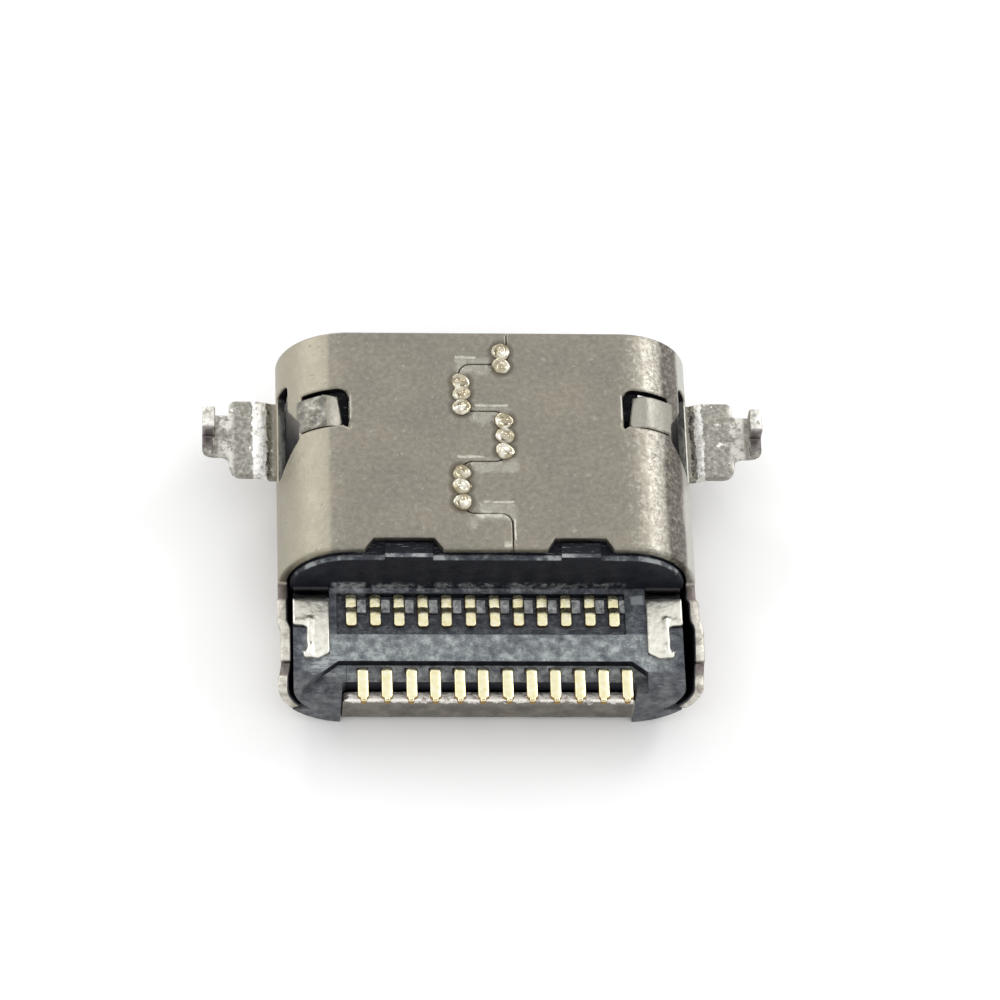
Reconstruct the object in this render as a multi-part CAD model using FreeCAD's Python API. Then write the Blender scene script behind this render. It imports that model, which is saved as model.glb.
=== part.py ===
import FreeCAD, Part
import math
import os

from FreeCAD import Vector

# Board socket for a flat, fully rounded plug: a rolled sheet shell round a moulded housing.
# It lies with its solder side up, the way it is laid down before it goes into a board.
# All lengths are in millimetres. X runs across the socket, Z is up, and +Y is the way the mouth looks.
# Most places along the socket are given as a depth: the distance behind the plane of the mouth.

# Contacts
contacts_per_row = 12
pitch = 0.50
contact_width = 0.24
contact_thickness = 0.12
contact_bend = 0.09
long_contact_tip_setback = 0.50
short_contact_tip_setback = 0.72
long_contact_places = (0, 3, 8, 11)

# Tongue in the mouth
tongue_side_margin = 0.475
tongue_thickness = 0.70
tongue_length = 4.35
tongue_tip_chamfer = 0.16
tongue_notch_setback = 1.05
tongue_notch_length = 0.85
tongue_notch_depth = 0.30
tongue_root_length = 0.95
tongue_root_thickness = 1.30

# Opening round the tongue, and the sheet of the shell
gap_beside_tongue = 0.825
gap_over_tongue = 0.93
sheet = 0.22
mouth_rounding = 0.05
tube_length = 5.25
flap_length = 2.50

# Side flaps behind the tube, as (distance behind the tube, how far the flap leans out there)
left_flap_lean = ((0.35, 0.0), (0.43, 0.02), (0.91, 0.02), (1.05, -0.05), (1.85, -0.05), (2.25, 0.01))
right_flap_lean = ((0.35, 0.0), (0.43, 0.06), (0.87, 0.06), (1.03, 0.14), (1.95, 0.12), (2.35, 0.07))
flap_relief_setback = 0.65
flap_relief_length = 0.33
flap_relief_depth = 0.12
flap_end_height = 0.88
rear_lip_width = 6.08
rear_lip_height = 1.00
rear_lip_corner = 0.16
rear_lip_bend = 0.18
rear_lip_root = 0.66

# Notches in the tube's rear edge, and the lugs of the housing that sit in them
notch_centres = (-1.80, 1.88)
notch_depth = 0.27
notch_bottom_widths = (1.24, 1.04)
notch_mouth_widths = (1.64, 1.38)
lug_centres = (-1.70, 1.89)
lug_widths = (1.00, 0.82)
lug_rise = 0.05
lug_gap = 0.04

# Seam of the shell, as (place across, depth), with its weld spots
seam_gap = 0.03
seam_points = (
    (0.47, 0.0), (0.47, 0.78), (-0.56, 0.78), (-0.56, 1.93), (0.40, 1.93),
    (0.40, 3.15), (-0.56, 3.15), (-0.56, 4.40), (0.47, 4.40))
weld_spots = (
    (0.34, 0.48), (0.34, 0.82), (-0.53, 1.23), (-0.52, 1.50), (-0.52, 1.84),
    (0.36, 2.18), (0.37, 2.54), (0.36, 2.91), (-0.56, 3.44), (-0.57, 3.76), (-0.56, 4.14))
weld_radius = 0.21
weld_height = 0.07

# Ears: solder tabs folded out of the shell's sides
ear_front = 0.87
ear_width = 1.81
ear_plate_reach = 1.00
ear_front_corner = 0.14
ear_rear_corner = 0.26
ear_drop_at_root = 0.045
ear_root_run = 0.34
neck_front = 1.22
neck_width = 0.95
prong_reach = 1.61
prong_height = 0.53
prong_bend = 0.14
prong_front = 1.30
prong_width = 0.55
prong_shoulder_height = 0.16

# Windows in the shell's round sides, in degrees up from the side line
side_window_start_angle = 6.0
side_window_end_angle = 38.0
side_window_front = 0.98
side_window_length = 1.62
side_window_toe_end_angle = 20.0
side_window_toe_length = 0.36
leaf_window_start_angle = 48.0
leaf_window_end_angle = 90.0
leaf_window_front = 1.30
leaf_window_length = 1.04
leaf_end_angle = 69.0
leaf_front_gap = 0.13
leaf_rear_gap = 0.03
leaf_sink = 0.05
leaf_root_overlap_angle = 5.0
leaf_curl_length = 0.30
leaf_curl_angle = 38.0

# Housing
housing_gap = 0.03
flap_side_gap = 0.09
base_overhang = 0.12
base_thickness = 0.57
base_edge_rounding = 0.10
base_front_skin = 0.24
base_rear_skin = 0.07
corner_foot_length = 0.19

# Mid plate between the rows, and its solder wings
mid_plate_thickness = 0.15
mid_plate_tip_setback = 0.25
mid_plate_hold = 0.20
mid_plate_shoulder_setback = 0.06
wing_width = 0.76
wing_end_setback = 0.70
wing_rear_corner = 0.24
wing_notch_reach = 0.42
wing_notch_length = 0.58
wing_foot_length = 0.17
wing_dip = 0.17
wing_dip_run = 0.08
wing_dip_bend = 0.09
wing_slot_length = 0.26
wing_slot_depth = 0.28
wing_notch_slope = 0.02

# Moulded blocks that hold the two rows
block_side_margin = 0.10
block_tip_setback = 0.34
pocket_left_margin = 0.179
pocket_right_margin = 0.121
pocket_rear_margin = 0.18
board_block_bottom_drop = 0.30
ledge_length = 0.13
slot_length = 0.12
slot_depth = 0.17
pocket_depth = 0.10
rib_setback = 0.14
rib_length = 0.30
rib_width = 0.18
rib_height = 0.08
rib_offset = 0.22
floor_block_top_drop = 0.38
floor_block_thickness = 0.52
rear_pocket_depth = 0.20
rear_pocket_setback = 0.04
rear_pocket_left_margin = 0.391
left_chamfer_run = 0.74
left_chamfer_length = 0.59
right_chamfer_run = 0.32
right_chamfer_length = 0.25
floor_block_rear_gap = 0.04
floor_block_lead = 0.04

# Solder side: everything soldered lies in one plane, just above the middle of the shell
shelf_drop = 0.075
row_shift = 0.111
jog_length = 0.26
jog_end_before_base = 0.04
contact_cover = 0.06
pad_ramp_length = 0.10
pad_length = 0.31
pad_drop = 0.075
foot_rise_length = 0.14
foot_length = 0.33
floor_run_drop = 0.655
floor_step_setback = 0.18
floor_step_length = 0.18
tail_overhang = 0.25
tail_length = 0.68
tail_rise_length = 0.26
tail_nub_length = 0.085
tail_nub_width = 0.12

# Shield plates at the root of the tongue
shield_thickness = 0.10
shield_side_setback = 0.12
shield_front_setback = 0.06
shield_flange_height = 0.36

# Sizes that follow from the ones above
tongue_width = (contacts_per_row - 1) * pitch + contact_width + 2 * tongue_side_margin
opening_width = tongue_width + 2 * gap_beside_tongue
opening_height = tongue_thickness + 2 * gap_over_tongue
outer_width = opening_width + 2 * sheet
outer_height = opening_height + 2 * sheet
outer_radius = outer_height / 2
inner_radius = opening_height / 2
middle = outer_height / 2
round_centre = outer_width / 2 - outer_radius
board_plane = middle + mid_plate_thickness / 2
shelf = board_plane - shelf_drop
shell_length = tube_length + flap_length
base_end = tube_length + base_overhang
base_front = base_end - base_thickness
inside_base = base_end - base_rear_skin
tongue_tip = base_front - tongue_length
tongue_root = base_front - tongue_root_length
tail_end = shell_length + tail_overhang
nub_end = tail_end + tail_nub_length
mouth_y = nub_end / 2
tail_rise_end = tail_end - tail_length
tail_rise_start = tail_rise_end - tail_rise_length
row_half_width = (contacts_per_row - 1) * pitch / 2 + contact_width / 2
block_half_width = row_half_width + block_side_margin
board_block_start = base_front + base_front_skin
ledge_end = base_end + ledge_length
pad_end = ledge_end + pad_length
foot_front = pad_end + foot_rise_length
foot_end = foot_front + foot_length
board_block_end = foot_end + pocket_rear_margin
board_block_left = -row_half_width - row_shift - pocket_left_margin
board_block_right = row_half_width - row_shift + pocket_right_margin
soldered_centre = board_plane - contact_thickness / 2
wing_outer_half_width = opening_width / 2 - flap_side_gap
wing_inner_half_width = wing_outer_half_width - wing_width
wing_end = shell_length - wing_end_setback
mid_plate_end = base_front + mid_plate_hold
far = 50.0


def y_at(depth):
    """Y of a place at a depth behind the mouth."""
    return mouth_y - depth


def box(left, right, front, back, bottom, top):
    """Block between two places across, two depths and two heights."""
    corner = Vector(left, y_at(back), bottom)
    return Part.makeBox(right - left, back - front, top - bottom, corner)


def prism(points, along):
    """Solid from a closed outline of points, pushed along a vector."""
    return Part.Face(Part.makePolygon(points + [points[0]])).extrude(along)


def plan_prism(points, bottom, top):
    """Solid from an outline seen from above, as (place across, depth)."""
    outline = [Vector(x, y_at(depth), bottom) for x, depth in points]
    return prism(outline, Vector(0, 0, top - bottom))


def join(shapes):
    """One solid from shapes that meet."""
    result = shapes[0]
    if len(shapes) > 1:
        result = shapes[0].fuse(shapes[1:])
    return result.removeSplitter()


def round_section(width, height, depth):
    """Closed wire with fully rounded ends, across the socket at a depth."""
    radius = height / 2
    side = width / 2 - radius
    y = y_at(depth)
    low = middle - radius
    high = middle + radius
    edges = [
        Part.LineSegment(Vector(-side, y, low), Vector(side, y, low)).toShape(),
        Part.Arc(Vector(side, y, low), Vector(side + radius, y, middle), Vector(side, y, high)).toShape(),
        Part.LineSegment(Vector(side, y, high), Vector(-side, y, high)).toShape(),
        Part.Arc(Vector(-side, y, high), Vector(-side - radius, y, middle), Vector(-side, y, low)).toShape()]
    return Part.Wire(edges)


def round_bar(width, height, front, back):
    """Solid with a fully rounded section between two depths."""
    return Part.Face(round_section(width, height, front)).extrude(Vector(0, front - back, 0))


def strip_outline(points, bend, thickness):
    """Edges of a bent strip of even thickness, in a plane, as lines and arcs given by (u, v) points.

    The points are the strip's middle line, and bend is the middle radius of each corner.
    """
    starts = [points[0]]
    ends = []
    arcs = []
    for before, corner, after in zip(points, points[1:], points[2:]):
        run_in = unit(corner, before)
        run_out = unit(corner, after)
        cosine = run_in[0] * run_out[0] + run_in[1] * run_out[1]
        half_turn = (math.pi - math.acos(max(-1.0, min(1.0, cosine)))) / 2
        reach = bend * math.tan(half_turn)
        first = (corner[0] + run_in[0] * reach, corner[1] + run_in[1] * reach)
        last = (corner[0] + run_out[0] * reach, corner[1] + run_out[1] * reach)
        toward = (run_in[0] + run_out[0], run_in[1] + run_out[1])
        length = math.hypot(*toward)
        away = bend / math.cos(half_turn)
        centre = (corner[0] + toward[0] / length * away, corner[1] + toward[1] / length * away)
        ends.append(first)
        starts.append(last)
        arcs.append((first, centre, last, corner))
    ends.append(points[-1])

    def side(sign):
        pieces = []
        for index, (start, end) in enumerate(zip(starts, ends)):
            along = unit(start, end)
            shift = (-along[1] * sign * thickness / 2, along[0] * sign * thickness / 2)
            pieces.append(("line", offset(start, shift), offset(end, shift)))
            if index < len(arcs):
                first, centre, last, corner = arcs[index]
                outward = unit(centre, corner)
                turns_left = cross(along, (centre[0] - first[0], centre[1] - first[1])) > 0
                radius = bend - sign * thickness / 2 if turns_left else bend + sign * thickness / 2
                peak = (centre[0] + outward[0] * radius, centre[1] + outward[1] * radius)
                from_first = unit(centre, first)
                from_last = unit(centre, last)
                pieces.append((
                    "arc",
                    (centre[0] + from_first[0] * radius, centre[1] + from_first[1] * radius),
                    peak,
                    (centre[0] + from_last[0] * radius, centre[1] + from_last[1] * radius)))
        return pieces

    upper = side(1)
    lower = side(-1)
    closing_end = ("line", upper[-1][-1], lower[-1][-1])
    closing_start = ("line", lower[0][1], upper[0][1])
    return upper + [closing_end] + [reverse(piece) for piece in reversed(lower)] + [closing_start]


def unit(start, end):
    """Unit vector in the plane from one point to another."""
    length = math.hypot(end[0] - start[0], end[1] - start[1])
    return ((end[0] - start[0]) / length, (end[1] - start[1]) / length)


def offset(point, shift):
    """Point moved by a shift, in the plane."""
    return (point[0] + shift[0], point[1] + shift[1])


def cross(first, second):
    """Turn from one plane vector to another: above zero to the left."""
    return first[0] * second[1] - first[1] * second[0]


def reverse(piece):
    """A line or arc of an outline, run the other way."""
    return (piece[0],) + tuple(reversed(piece[1:]))


def strip(points, bend, thickness, place, along):
    """Solid of a bent strip: place turns (u, v) into a point in space, along is its width vector."""
    edges = []
    for piece in strip_outline(points, bend, thickness):
        corners = [place(u, v) for u, v in piece[1:]]
        if corners[0].distanceToPoint(corners[-1]) < 1e-6:
            continue
        if piece[0] == "line":
            edges.append(Part.LineSegment(*corners).toShape())
        else:
            edges.append(Part.Arc(*corners).toShape())
    return Part.Face(Part.Wire(Part.__sortEdges__(edges))).extrude(along)


def ring_sector(side, start_angle, end_angle, inner, outer, front, back, drop=0.0):
    """Part of a ring about the axis of one round side, between two angles up from the side line."""
    def at(radius, angle):
        turn = math.radians(angle)
        x = side * (round_centre + radius * math.cos(turn))
        return Vector(x, y_at(front), middle - drop + radius * math.sin(turn))

    halfway = (start_angle + end_angle) / 2
    edges = [
        Part.LineSegment(at(inner, start_angle), at(outer, start_angle)).toShape(),
        Part.Arc(at(outer, start_angle), at(outer, halfway), at(outer, end_angle)).toShape(),
        Part.LineSegment(at(outer, end_angle), at(inner, end_angle)).toShape(),
        Part.Arc(at(inner, end_angle), at(inner, halfway), at(inner, start_angle)).toShape()]
    return Part.Face(Part.Wire(edges)).extrude(Vector(0, front - back, 0))


def lean_at(stations, depth):
    """How far a flap leans out at a depth, between the stations given for it."""
    distance = depth - tube_length
    if distance <= stations[0][0]:
        return stations[0][1]
    for (start, low), (end, high) in zip(stations, stations[1:]):
        if distance <= end:
            return low + (high - low) * (distance - start) / (end - start)
    return stations[-1][1]


def trough_section(left_lean, right_lean, depth):
    """Closed wire of the shell's lower half, open on top, with each side moved out by its lean."""
    y = y_at(depth)
    edges = []
    left = -round_centre - left_lean
    right = round_centre + right_lean
    diagonal = math.sqrt(0.5)

    def point(centre, side, radius, angle_part):
        across = {0: side * radius, 1: side * radius * diagonal, 2: 0.0}[angle_part]
        down = {0: 0.0, 1: radius * diagonal, 2: radius}[angle_part]
        return Vector(centre + across, y, middle - down)

    outer_left = [point(left, -1, outer_radius, part) for part in (0, 1, 2)]
    outer_right = [point(right, 1, outer_radius, part) for part in (2, 1, 0)]
    inner_right = [point(right, 1, inner_radius, part) for part in (0, 1, 2)]
    inner_left = [point(left, -1, inner_radius, part) for part in (2, 1, 0)]
    edges.append(Part.Arc(*outer_left).toShape())
    edges.append(Part.LineSegment(outer_left[2], outer_right[0]).toShape())
    edges.append(Part.Arc(*outer_right).toShape())
    edges.append(Part.LineSegment(outer_right[2], inner_right[0]).toShape())
    edges.append(Part.Arc(*inner_right).toShape())
    edges.append(Part.LineSegment(inner_right[2], inner_left[0]).toShape())
    edges.append(Part.Arc(*inner_left).toShape())
    edges.append(Part.LineSegment(inner_left[2], outer_left[0]).toShape())
    return Part.Wire(edges)


def shell_tube():
    """Closed tube from the mouth to the end of the board side, its mouth edges rounded."""
    tube = round_bar(outer_width, outer_height, 0, tube_length).cut(
        round_bar(opening_width, opening_height, -1, tube_length + 1))
    mouth_edges = [
        edge for edge in tube.Edges
        if abs(edge.BoundBox.YMin - mouth_y) < 1e-6 and abs(edge.BoundBox.YMax - mouth_y) < 1e-6]
    return tube.makeFillet(mouth_rounding, mouth_edges)


def shell_trough():
    """Lower half of the shell behind the tube, with the lean of its flaps."""
    distances = {0.0, flap_length}
    for stations in (left_flap_lean, right_flap_lean):
        distances.update(distance for distance, lean in stations if distance < flap_length)
    depths = [tube_length + distance for distance in sorted(distances)]
    sections = [
        trough_section(lean_at(left_flap_lean, depth), lean_at(right_flap_lean, depth), depth)
        for depth in depths]
    return Part.makeLoft(sections, True, True)


def rear_cuts():
    """Space cut from the back of the trough: its corners, and the reliefs in the flaps."""
    corner_start = shell_length - corner_foot_length - housing_gap
    relief_start = shell_length - flap_relief_setback
    cuts = []
    for side in (-1, 1):
        inner = side * (rear_lip_width / 2)
        outer = side * far
        left, right = sorted((inner, outer))
        cuts.append(box(left, right, corner_start, far, -far, middle - flap_end_height))
        left, right = sorted((side * round_centre, outer))
        cuts.append(box(
            left, right, relief_start, relief_start + flap_relief_length,
            middle - flap_relief_depth, far))
    return cuts


def rear_lip():
    """Wall folded up from the bottom at the back of the shell."""
    half = rear_lip_width / 2
    low = sheet / 2
    wall = shell_length - sheet / 2
    path = [(shell_length - rear_lip_root, low), (wall, low), (wall, rear_lip_height)]
    lip = strip(
        path, rear_lip_bend, sheet,
        lambda depth, z: Vector(-half, y_at(depth), z), Vector(rear_lip_width, 0, 0))
    top_edges = [
        edge for edge in lip.Edges
        if abs(edge.BoundBox.ZMin - rear_lip_height) < 1e-6 and edge.BoundBox.XLength < 1e-6]
    return lip.makeFillet(rear_lip_corner, top_edges)


def notch_cuts():
    """Notches in the rear edge of the tube, wider at their mouth."""
    cuts = []
    for centre, bottom_width, mouth_width in zip(notch_centres, notch_bottom_widths, notch_mouth_widths):
        half_bottom = bottom_width / 2
        half_mouth = mouth_width / 2
        beyond = tube_length + notch_depth
        outline = [
            (centre - half_bottom, tube_length - notch_depth),
            (centre + half_bottom, tube_length - notch_depth),
            (centre + half_mouth, tube_length),
            (centre + half_mouth, beyond),
            (centre - half_mouth, beyond),
            (centre - half_mouth, tube_length)]
        cuts.append(plan_prism(outline, middle, far))
    return cuts


def seam_cuts():
    """Narrow slit along the interlocking seam, through the board side of the tube."""
    cuts = []
    half = seam_gap / 2
    ends = seam_points[1:] + ((seam_points[-1][0], tube_length + seam_gap),)
    for (x0, d0), (x1, d1) in zip(seam_points, ends):
        left, right = sorted((x0, x1))
        front, back = sorted((d0, d1))
        first = front - (seam_gap if front == 0 else half)
        cuts.append(box(left - half, right + half, first, back + half, middle + inner_radius / 2, far))
    return cuts


def welds():
    """Raised spots that close the seam: flat bottomed caps of a ball, standing in the sheet."""
    ball_radius = (weld_radius ** 2 + weld_height ** 2) / (2 * weld_height)
    spots = []
    for x, depth in weld_spots:
        centre = Vector(x, y_at(depth), outer_height + weld_height - ball_radius)
        root = Vector(x, y_at(depth), outer_height - sheet / 2)
        foot = Part.makeCylinder(weld_radius, sheet / 2 + weld_height, root)
        spots.append(foot.common(Part.makeSphere(ball_radius, centre)))
    return spots


def window_cuts(side):
    """Windows in one round side of the tube."""
    inner = inner_radius - sheet
    outer = outer_radius + sheet
    side_window_end = side_window_front + side_window_length
    return [
        ring_sector(side, side_window_start_angle, side_window_end_angle, inner, outer,
                    side_window_front, side_window_end),
        ring_sector(side, side_window_start_angle, side_window_toe_end_angle, inner, outer,
                    side_window_front, side_window_end + side_window_toe_length),
        ring_sector(side, leaf_window_start_angle, leaf_window_end_angle, inner, outer,
                    leaf_window_front, leaf_window_front + leaf_window_length)]


def leaf(side):
    """Spring leaf left standing in the upper window, sunk a little, its end curled into the mouth."""
    front = leaf_window_front + leaf_front_gap
    back = leaf_window_front + leaf_window_length - leaf_rear_gap
    plate = ring_sector(
        side, leaf_window_start_angle - leaf_root_overlap_angle, leaf_end_angle,
        inner_radius, outer_radius, front, back, leaf_sink)
    turn = math.radians(leaf_end_angle)
    middle_radius = (inner_radius + outer_radius) / 2
    start = (
        round_centre + middle_radius * math.cos(turn),
        middle - leaf_sink + middle_radius * math.sin(turn))
    slope = turn + math.pi / 2 + math.radians(leaf_curl_angle)
    heading = turn + math.pi / 2
    back_step = sheet / 4
    tail = (start[0] - back_step * math.cos(heading), start[1] - back_step * math.sin(heading))
    tip = (start[0] + leaf_curl_length * math.cos(slope), start[1] + leaf_curl_length * math.sin(slope))
    half = sheet / 2
    normal = (-math.sin(slope) * half, math.cos(slope) * half)
    outline = [
        Vector(side * (tail[0] + normal[0]), y_at(front), tail[1] + normal[1]),
        Vector(side * (tip[0] + normal[0]), y_at(front), tip[1] + normal[1]),
        Vector(side * (tip[0] - normal[0]), y_at(front), tip[1] - normal[1]),
        Vector(side * (tail[0] - normal[0]), y_at(front), tail[1] - normal[1])]
    curl = prism(outline, Vector(0, front - back, 0))
    return join([plate, curl])


def rounded_plan(points, radii, bottom, top):
    """Solid from an outline seen from above, with a rounding at each corner that has one."""
    solid = plan_prism(points, bottom, top)
    for (x, depth), radius in zip(points, radii):
        if radius == 0:
            continue
        corner = [
            edge for edge in solid.Edges
            if edge.BoundBox.ZLength > (top - bottom) / 2
            and edge.BoundBox.XLength < 1e-6
            and abs(edge.Vertexes[0].X - x) < 1e-6
            and abs(edge.Vertexes[0].Y - y_at(depth)) < 1e-6]
        solid = solid.makeFillet(radius, corner)
    return solid


def ear(side):
    """Solder tab on one side: a plate, a narrower neck and a prong folded up through the board."""
    root = outer_width / 2 - sheet / 2
    plate_end = outer_width / 2 + ear_plate_reach
    ear_end = outer_width / 2 + prong_reach
    ear_back = ear_front + ear_width
    level = board_plane - sheet / 2
    path = [
        (root, level - ear_drop_at_root),
        (outer_width / 2 + ear_root_run / 3, level - ear_drop_at_root),
        (outer_width / 2 + ear_root_run, level),
        (ear_end - sheet / 2, level),
        (ear_end - sheet / 2, board_plane + prong_height)]
    folded = strip(
        path, prong_bend, sheet,
        lambda x, z: Vector(side * x, y_at(ear_back), z), Vector(0, ear_width, 0))
    neck_back = neck_front + neck_width
    plan = [
        (root, ear_front), (plate_end, ear_front), (plate_end, neck_front), (ear_end + sheet, neck_front),
        (ear_end + sheet, neck_back), (plate_end, neck_back), (plate_end, ear_back), (root, ear_back)]
    radii = [0, ear_front_corner, 0, 0, 0, 0, ear_rear_corner, 0]
    mirrored = [(side * x, depth) for x, depth in plan]
    shaped = folded.common(rounded_plan(mirrored, radii, 0, outer_height))
    prong_start = ear_end - sheet - prong_bend
    shoulder = board_plane + prong_shoulder_height
    left, right = sorted((side * prong_start, side * far))
    rear_step = box(left, right, prong_front + prong_width, far, shoulder, far)
    front_step = box(left, right, -far, prong_front, board_plane, far)
    shaped = shaped.cut([rear_step, front_step])
    return shaped.removeSplitter()


def make_shell():
    """The folded sheet shell, with its seam, welds, windows, leaves, ears, notches and rear lip."""
    body = join([shell_tube(), shell_trough().cut(rear_cuts())])
    cuts = notch_cuts() + seam_cuts()
    for side in (-1, 1):
        cuts += window_cuts(side)
    body = body.cut(cuts)
    additions = [rear_lip()] + welds()
    for side in (-1, 1):
        additions += [leaf(side), ear(side)]
    return join([body] + additions)


def contact_places():
    """Places across of one row's contacts on the tongue."""
    first = -(contacts_per_row - 1) * pitch / 2
    return [first + index * pitch for index in range(contacts_per_row)]


def contact_tip(index):
    """Depth of a contact's front end: the ground and power contacts reach further forward."""
    setback = long_contact_tip_setback if index in long_contact_places else short_contact_tip_setback
    return tongue_tip + setback


def contact(index, x, shift, tongue_centre, rear_path):
    """One contact: a straight beam on the tongue, a sideways jog in the root, then its way to the board."""
    half = contact_width / 2
    jog_end = base_front - jog_end_before_base
    jog_start = jog_end - jog_length
    low = tongue_centre - contact_thickness / 2
    high = tongue_centre + contact_thickness / 2
    beam = box(x - half, x + half, contact_tip(index), jog_start, low, high)
    sides = [
        (x - half, jog_start), (x + half, jog_start),
        (x + shift + half, jog_end), (x + shift - half, jog_end)]
    jog = plan_prism(sides, low, high)
    path = [(jog_end, tongue_centre)] + rear_path
    left = x + shift - half
    rear = strip(
        path, contact_bend, contact_thickness,
        lambda depth, z: Vector(left, y_at(depth), z), Vector(contact_width, 0, 0))
    return [beam, jog, rear]


def make_board_contact(index, x):
    """Contact of the row on the board side of the tongue, ending in a short soldered foot."""
    pad_level = soldered_centre - pad_drop
    covered_level = shelf - contact_cover - contact_thickness / 2
    rear_path = [
        (board_block_start, board_tongue_level()),
        (inside_base, covered_level),
        (ledge_end, covered_level),
        (ledge_end + pad_ramp_length, pad_level),
        (pad_end, pad_level),
        (foot_front, soldered_centre),
        (foot_end, soldered_centre)]
    return join(contact(index, x, -row_shift, board_tongue_level(), rear_path))


def make_floor_contact(index, x):
    """Contact of the floor side row, ending in a long soldered tail with a snapped nub."""
    run = soldered_centre - floor_run_drop + contact_thickness / 2
    step_start = base_front + floor_step_setback
    rear_path = [
        (step_start, floor_tongue_level()),
        (step_start + floor_step_length, run),
        (tail_rise_start, run),
        (tail_rise_end, soldered_centre),
        (tail_end, soldered_centre)]
    centre = x + row_shift
    nub = box(
        centre - tail_nub_width / 2, centre + tail_nub_width / 2, tail_end, nub_end,
        board_plane - contact_thickness, board_plane)
    return join(contact(index, x, row_shift, floor_tongue_level(), rear_path) + [nub])


def board_tongue_level():
    """Middle height of the contacts that lie flush in the tongue's board side."""
    return middle + tongue_thickness / 2 - contact_thickness / 2


def floor_tongue_level():
    """Middle height of the contacts that lie flush in the tongue's floor side."""
    return middle - tongue_thickness / 2 + contact_thickness / 2


def tongue_outline(tip, back, margin=0.0):
    """Plan of the tongue with its latch notches, from its tip to a depth, drawn in by a margin."""
    half = tongue_width / 2 - margin
    notch_half = half - tongue_notch_depth
    start = tongue_tip + tongue_notch_setback
    end = start + tongue_notch_length
    slope = tongue_notch_depth / 2
    right = [
        (half, tip), (half, start), (notch_half, start), (notch_half, end - slope),
        (half, end), (half, back)]
    left = [(-x, depth) for x, depth in reversed(right)]
    return right + left


def wing_slots():
    """Slots across the roots of the wings, open outward, sunk into the shelf."""
    slots = []
    for side in (-1, 1):
        left, right = sorted((side * wing_inner_half_width, side * wing_outer_half_width))
        slots.append(box(
            left, right, base_end, base_end + wing_slot_length,
            board_plane - wing_slot_depth, board_plane + sheet))
    return slots


def wing(side):
    """Solder wing on one side: it dips across the slot, then lies flush with the solder plane."""
    outer = wing_outer_half_width
    inner = wing_inner_half_width
    shoulder_start = base_front + mid_plate_shoulder_setback
    dip_end = base_end + wing_slot_length
    path = [
        (shoulder_start, middle), (base_end - wing_dip_run / 2, middle),
        (base_end + wing_dip_run / 2, middle - wing_dip), (dip_end - wing_dip_run / 2, middle - wing_dip),
        (dip_end + wing_dip_run / 2, middle), (wing_end, middle)]
    folded = strip(
        path, wing_dip_bend, mid_plate_thickness,
        lambda depth, z: Vector(side * outer, y_at(depth), z), Vector(side * (inner - outer), 0, 0))
    notch_inner = outer - wing_notch_reach
    notch_end = wing_end - wing_foot_length
    notch_front = notch_end - wing_notch_length
    inner_rear = inner + wing_rear_corner
    outer_rear = outer - wing_rear_corner
    plan = [
        (inner, shoulder_start), (outer, shoulder_start), (outer, notch_front),
        (notch_inner, notch_front + wing_notch_slope), (notch_inner, notch_end),
        (outer_rear, notch_end + wing_notch_slope), (outer_rear, wing_end), (inner_rear, wing_end),
        (inner, wing_end - wing_rear_corner / 2)]
    shaped = folded.common(plan_prism([(side * x, depth) for x, depth in plan], 0, outer_height))
    left, right = sorted((side * (inner - wing_rear_corner), side * (inner + wing_rear_corner)))
    half = mid_plate_thickness / 2
    shoulder = box(left, right, shoulder_start, mid_plate_end, middle - half, middle + half)
    return [shaped, shoulder]


def make_mid_plate():
    """Stamped plate between the rows, with latch notches in front and solder wings behind."""
    half = mid_plate_thickness / 2
    blade = plan_prism(
        tongue_outline(tongue_tip + mid_plate_tip_setback, mid_plate_end), middle - half, middle + half)
    return join([blade] + wing(-1) + wing(1))


def make_board_block(contacts, plate):
    """Moulded block that carries the board side row: tongue layer, root, drop and soldering pocket."""
    over_plate = middle + mid_plate_thickness / 2
    tongue_top = middle + tongue_thickness / 2
    root_top = middle + tongue_root_thickness / 2
    bottom = shelf - board_block_bottom_drop
    half = block_half_width
    pocket_floor = shelf - pocket_depth
    rib_front = ledge_end + rib_setback
    layer = box(-half, half, tongue_tip + block_tip_setback, inside_base, over_plate, tongue_top)
    root = box(-half, half, tongue_root, inside_base, over_plate, root_top)
    drop = box(-half, half, board_block_start, inside_base, bottom, root_top)
    ledge = box(board_block_left, board_block_right, board_block_start, ledge_end, bottom, shelf)
    floor = box(board_block_left, board_block_right, ledge_end, board_block_end, bottom, pocket_floor)
    ribs = []
    for x in contact_places():
        centre = x - row_shift + rib_offset
        ribs.append(box(
            centre - rib_width / 2, centre + rib_width / 2, rib_front, rib_front + rib_length,
            pocket_floor, pocket_floor + rib_height))
    slot = box(
        board_block_left + slot_length, board_block_right - slot_length, ledge_end, ledge_end + slot_length,
        shelf - slot_depth, shelf)
    block = join([layer, root, drop, ledge, floor] + ribs)
    return block.cut([slot, plate] + contacts).removeSplitter()


def make_floor_block(contacts, plate):
    """Moulded block that carries the floor side row, from the tongue to the pocket under the tails."""
    under_plate = middle - mid_plate_thickness / 2
    tongue_bottom = middle - tongue_thickness / 2
    root_bottom = middle - tongue_root_thickness / 2
    run_top = shelf - floor_block_top_drop
    run_bottom = run_top - floor_block_thickness
    half = block_half_width
    rear_end = shell_length - sheet - floor_block_rear_gap
    layer = box(-half, half, tongue_tip + block_tip_setback, base_front, tongue_bottom, under_plate)
    root = box(-half, half, tongue_root, mid_plate_end, root_bottom, under_plate)
    run = box(-half, half, base_front, rear_end, run_bottom, run_top)
    rear = box(
        -half, half, tail_rise_start - floor_block_lead, rear_end, run_bottom, shelf - rear_pocket_depth)
    return join([layer, root, run, rear]).cut([plate] + contacts).removeSplitter()


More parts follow.
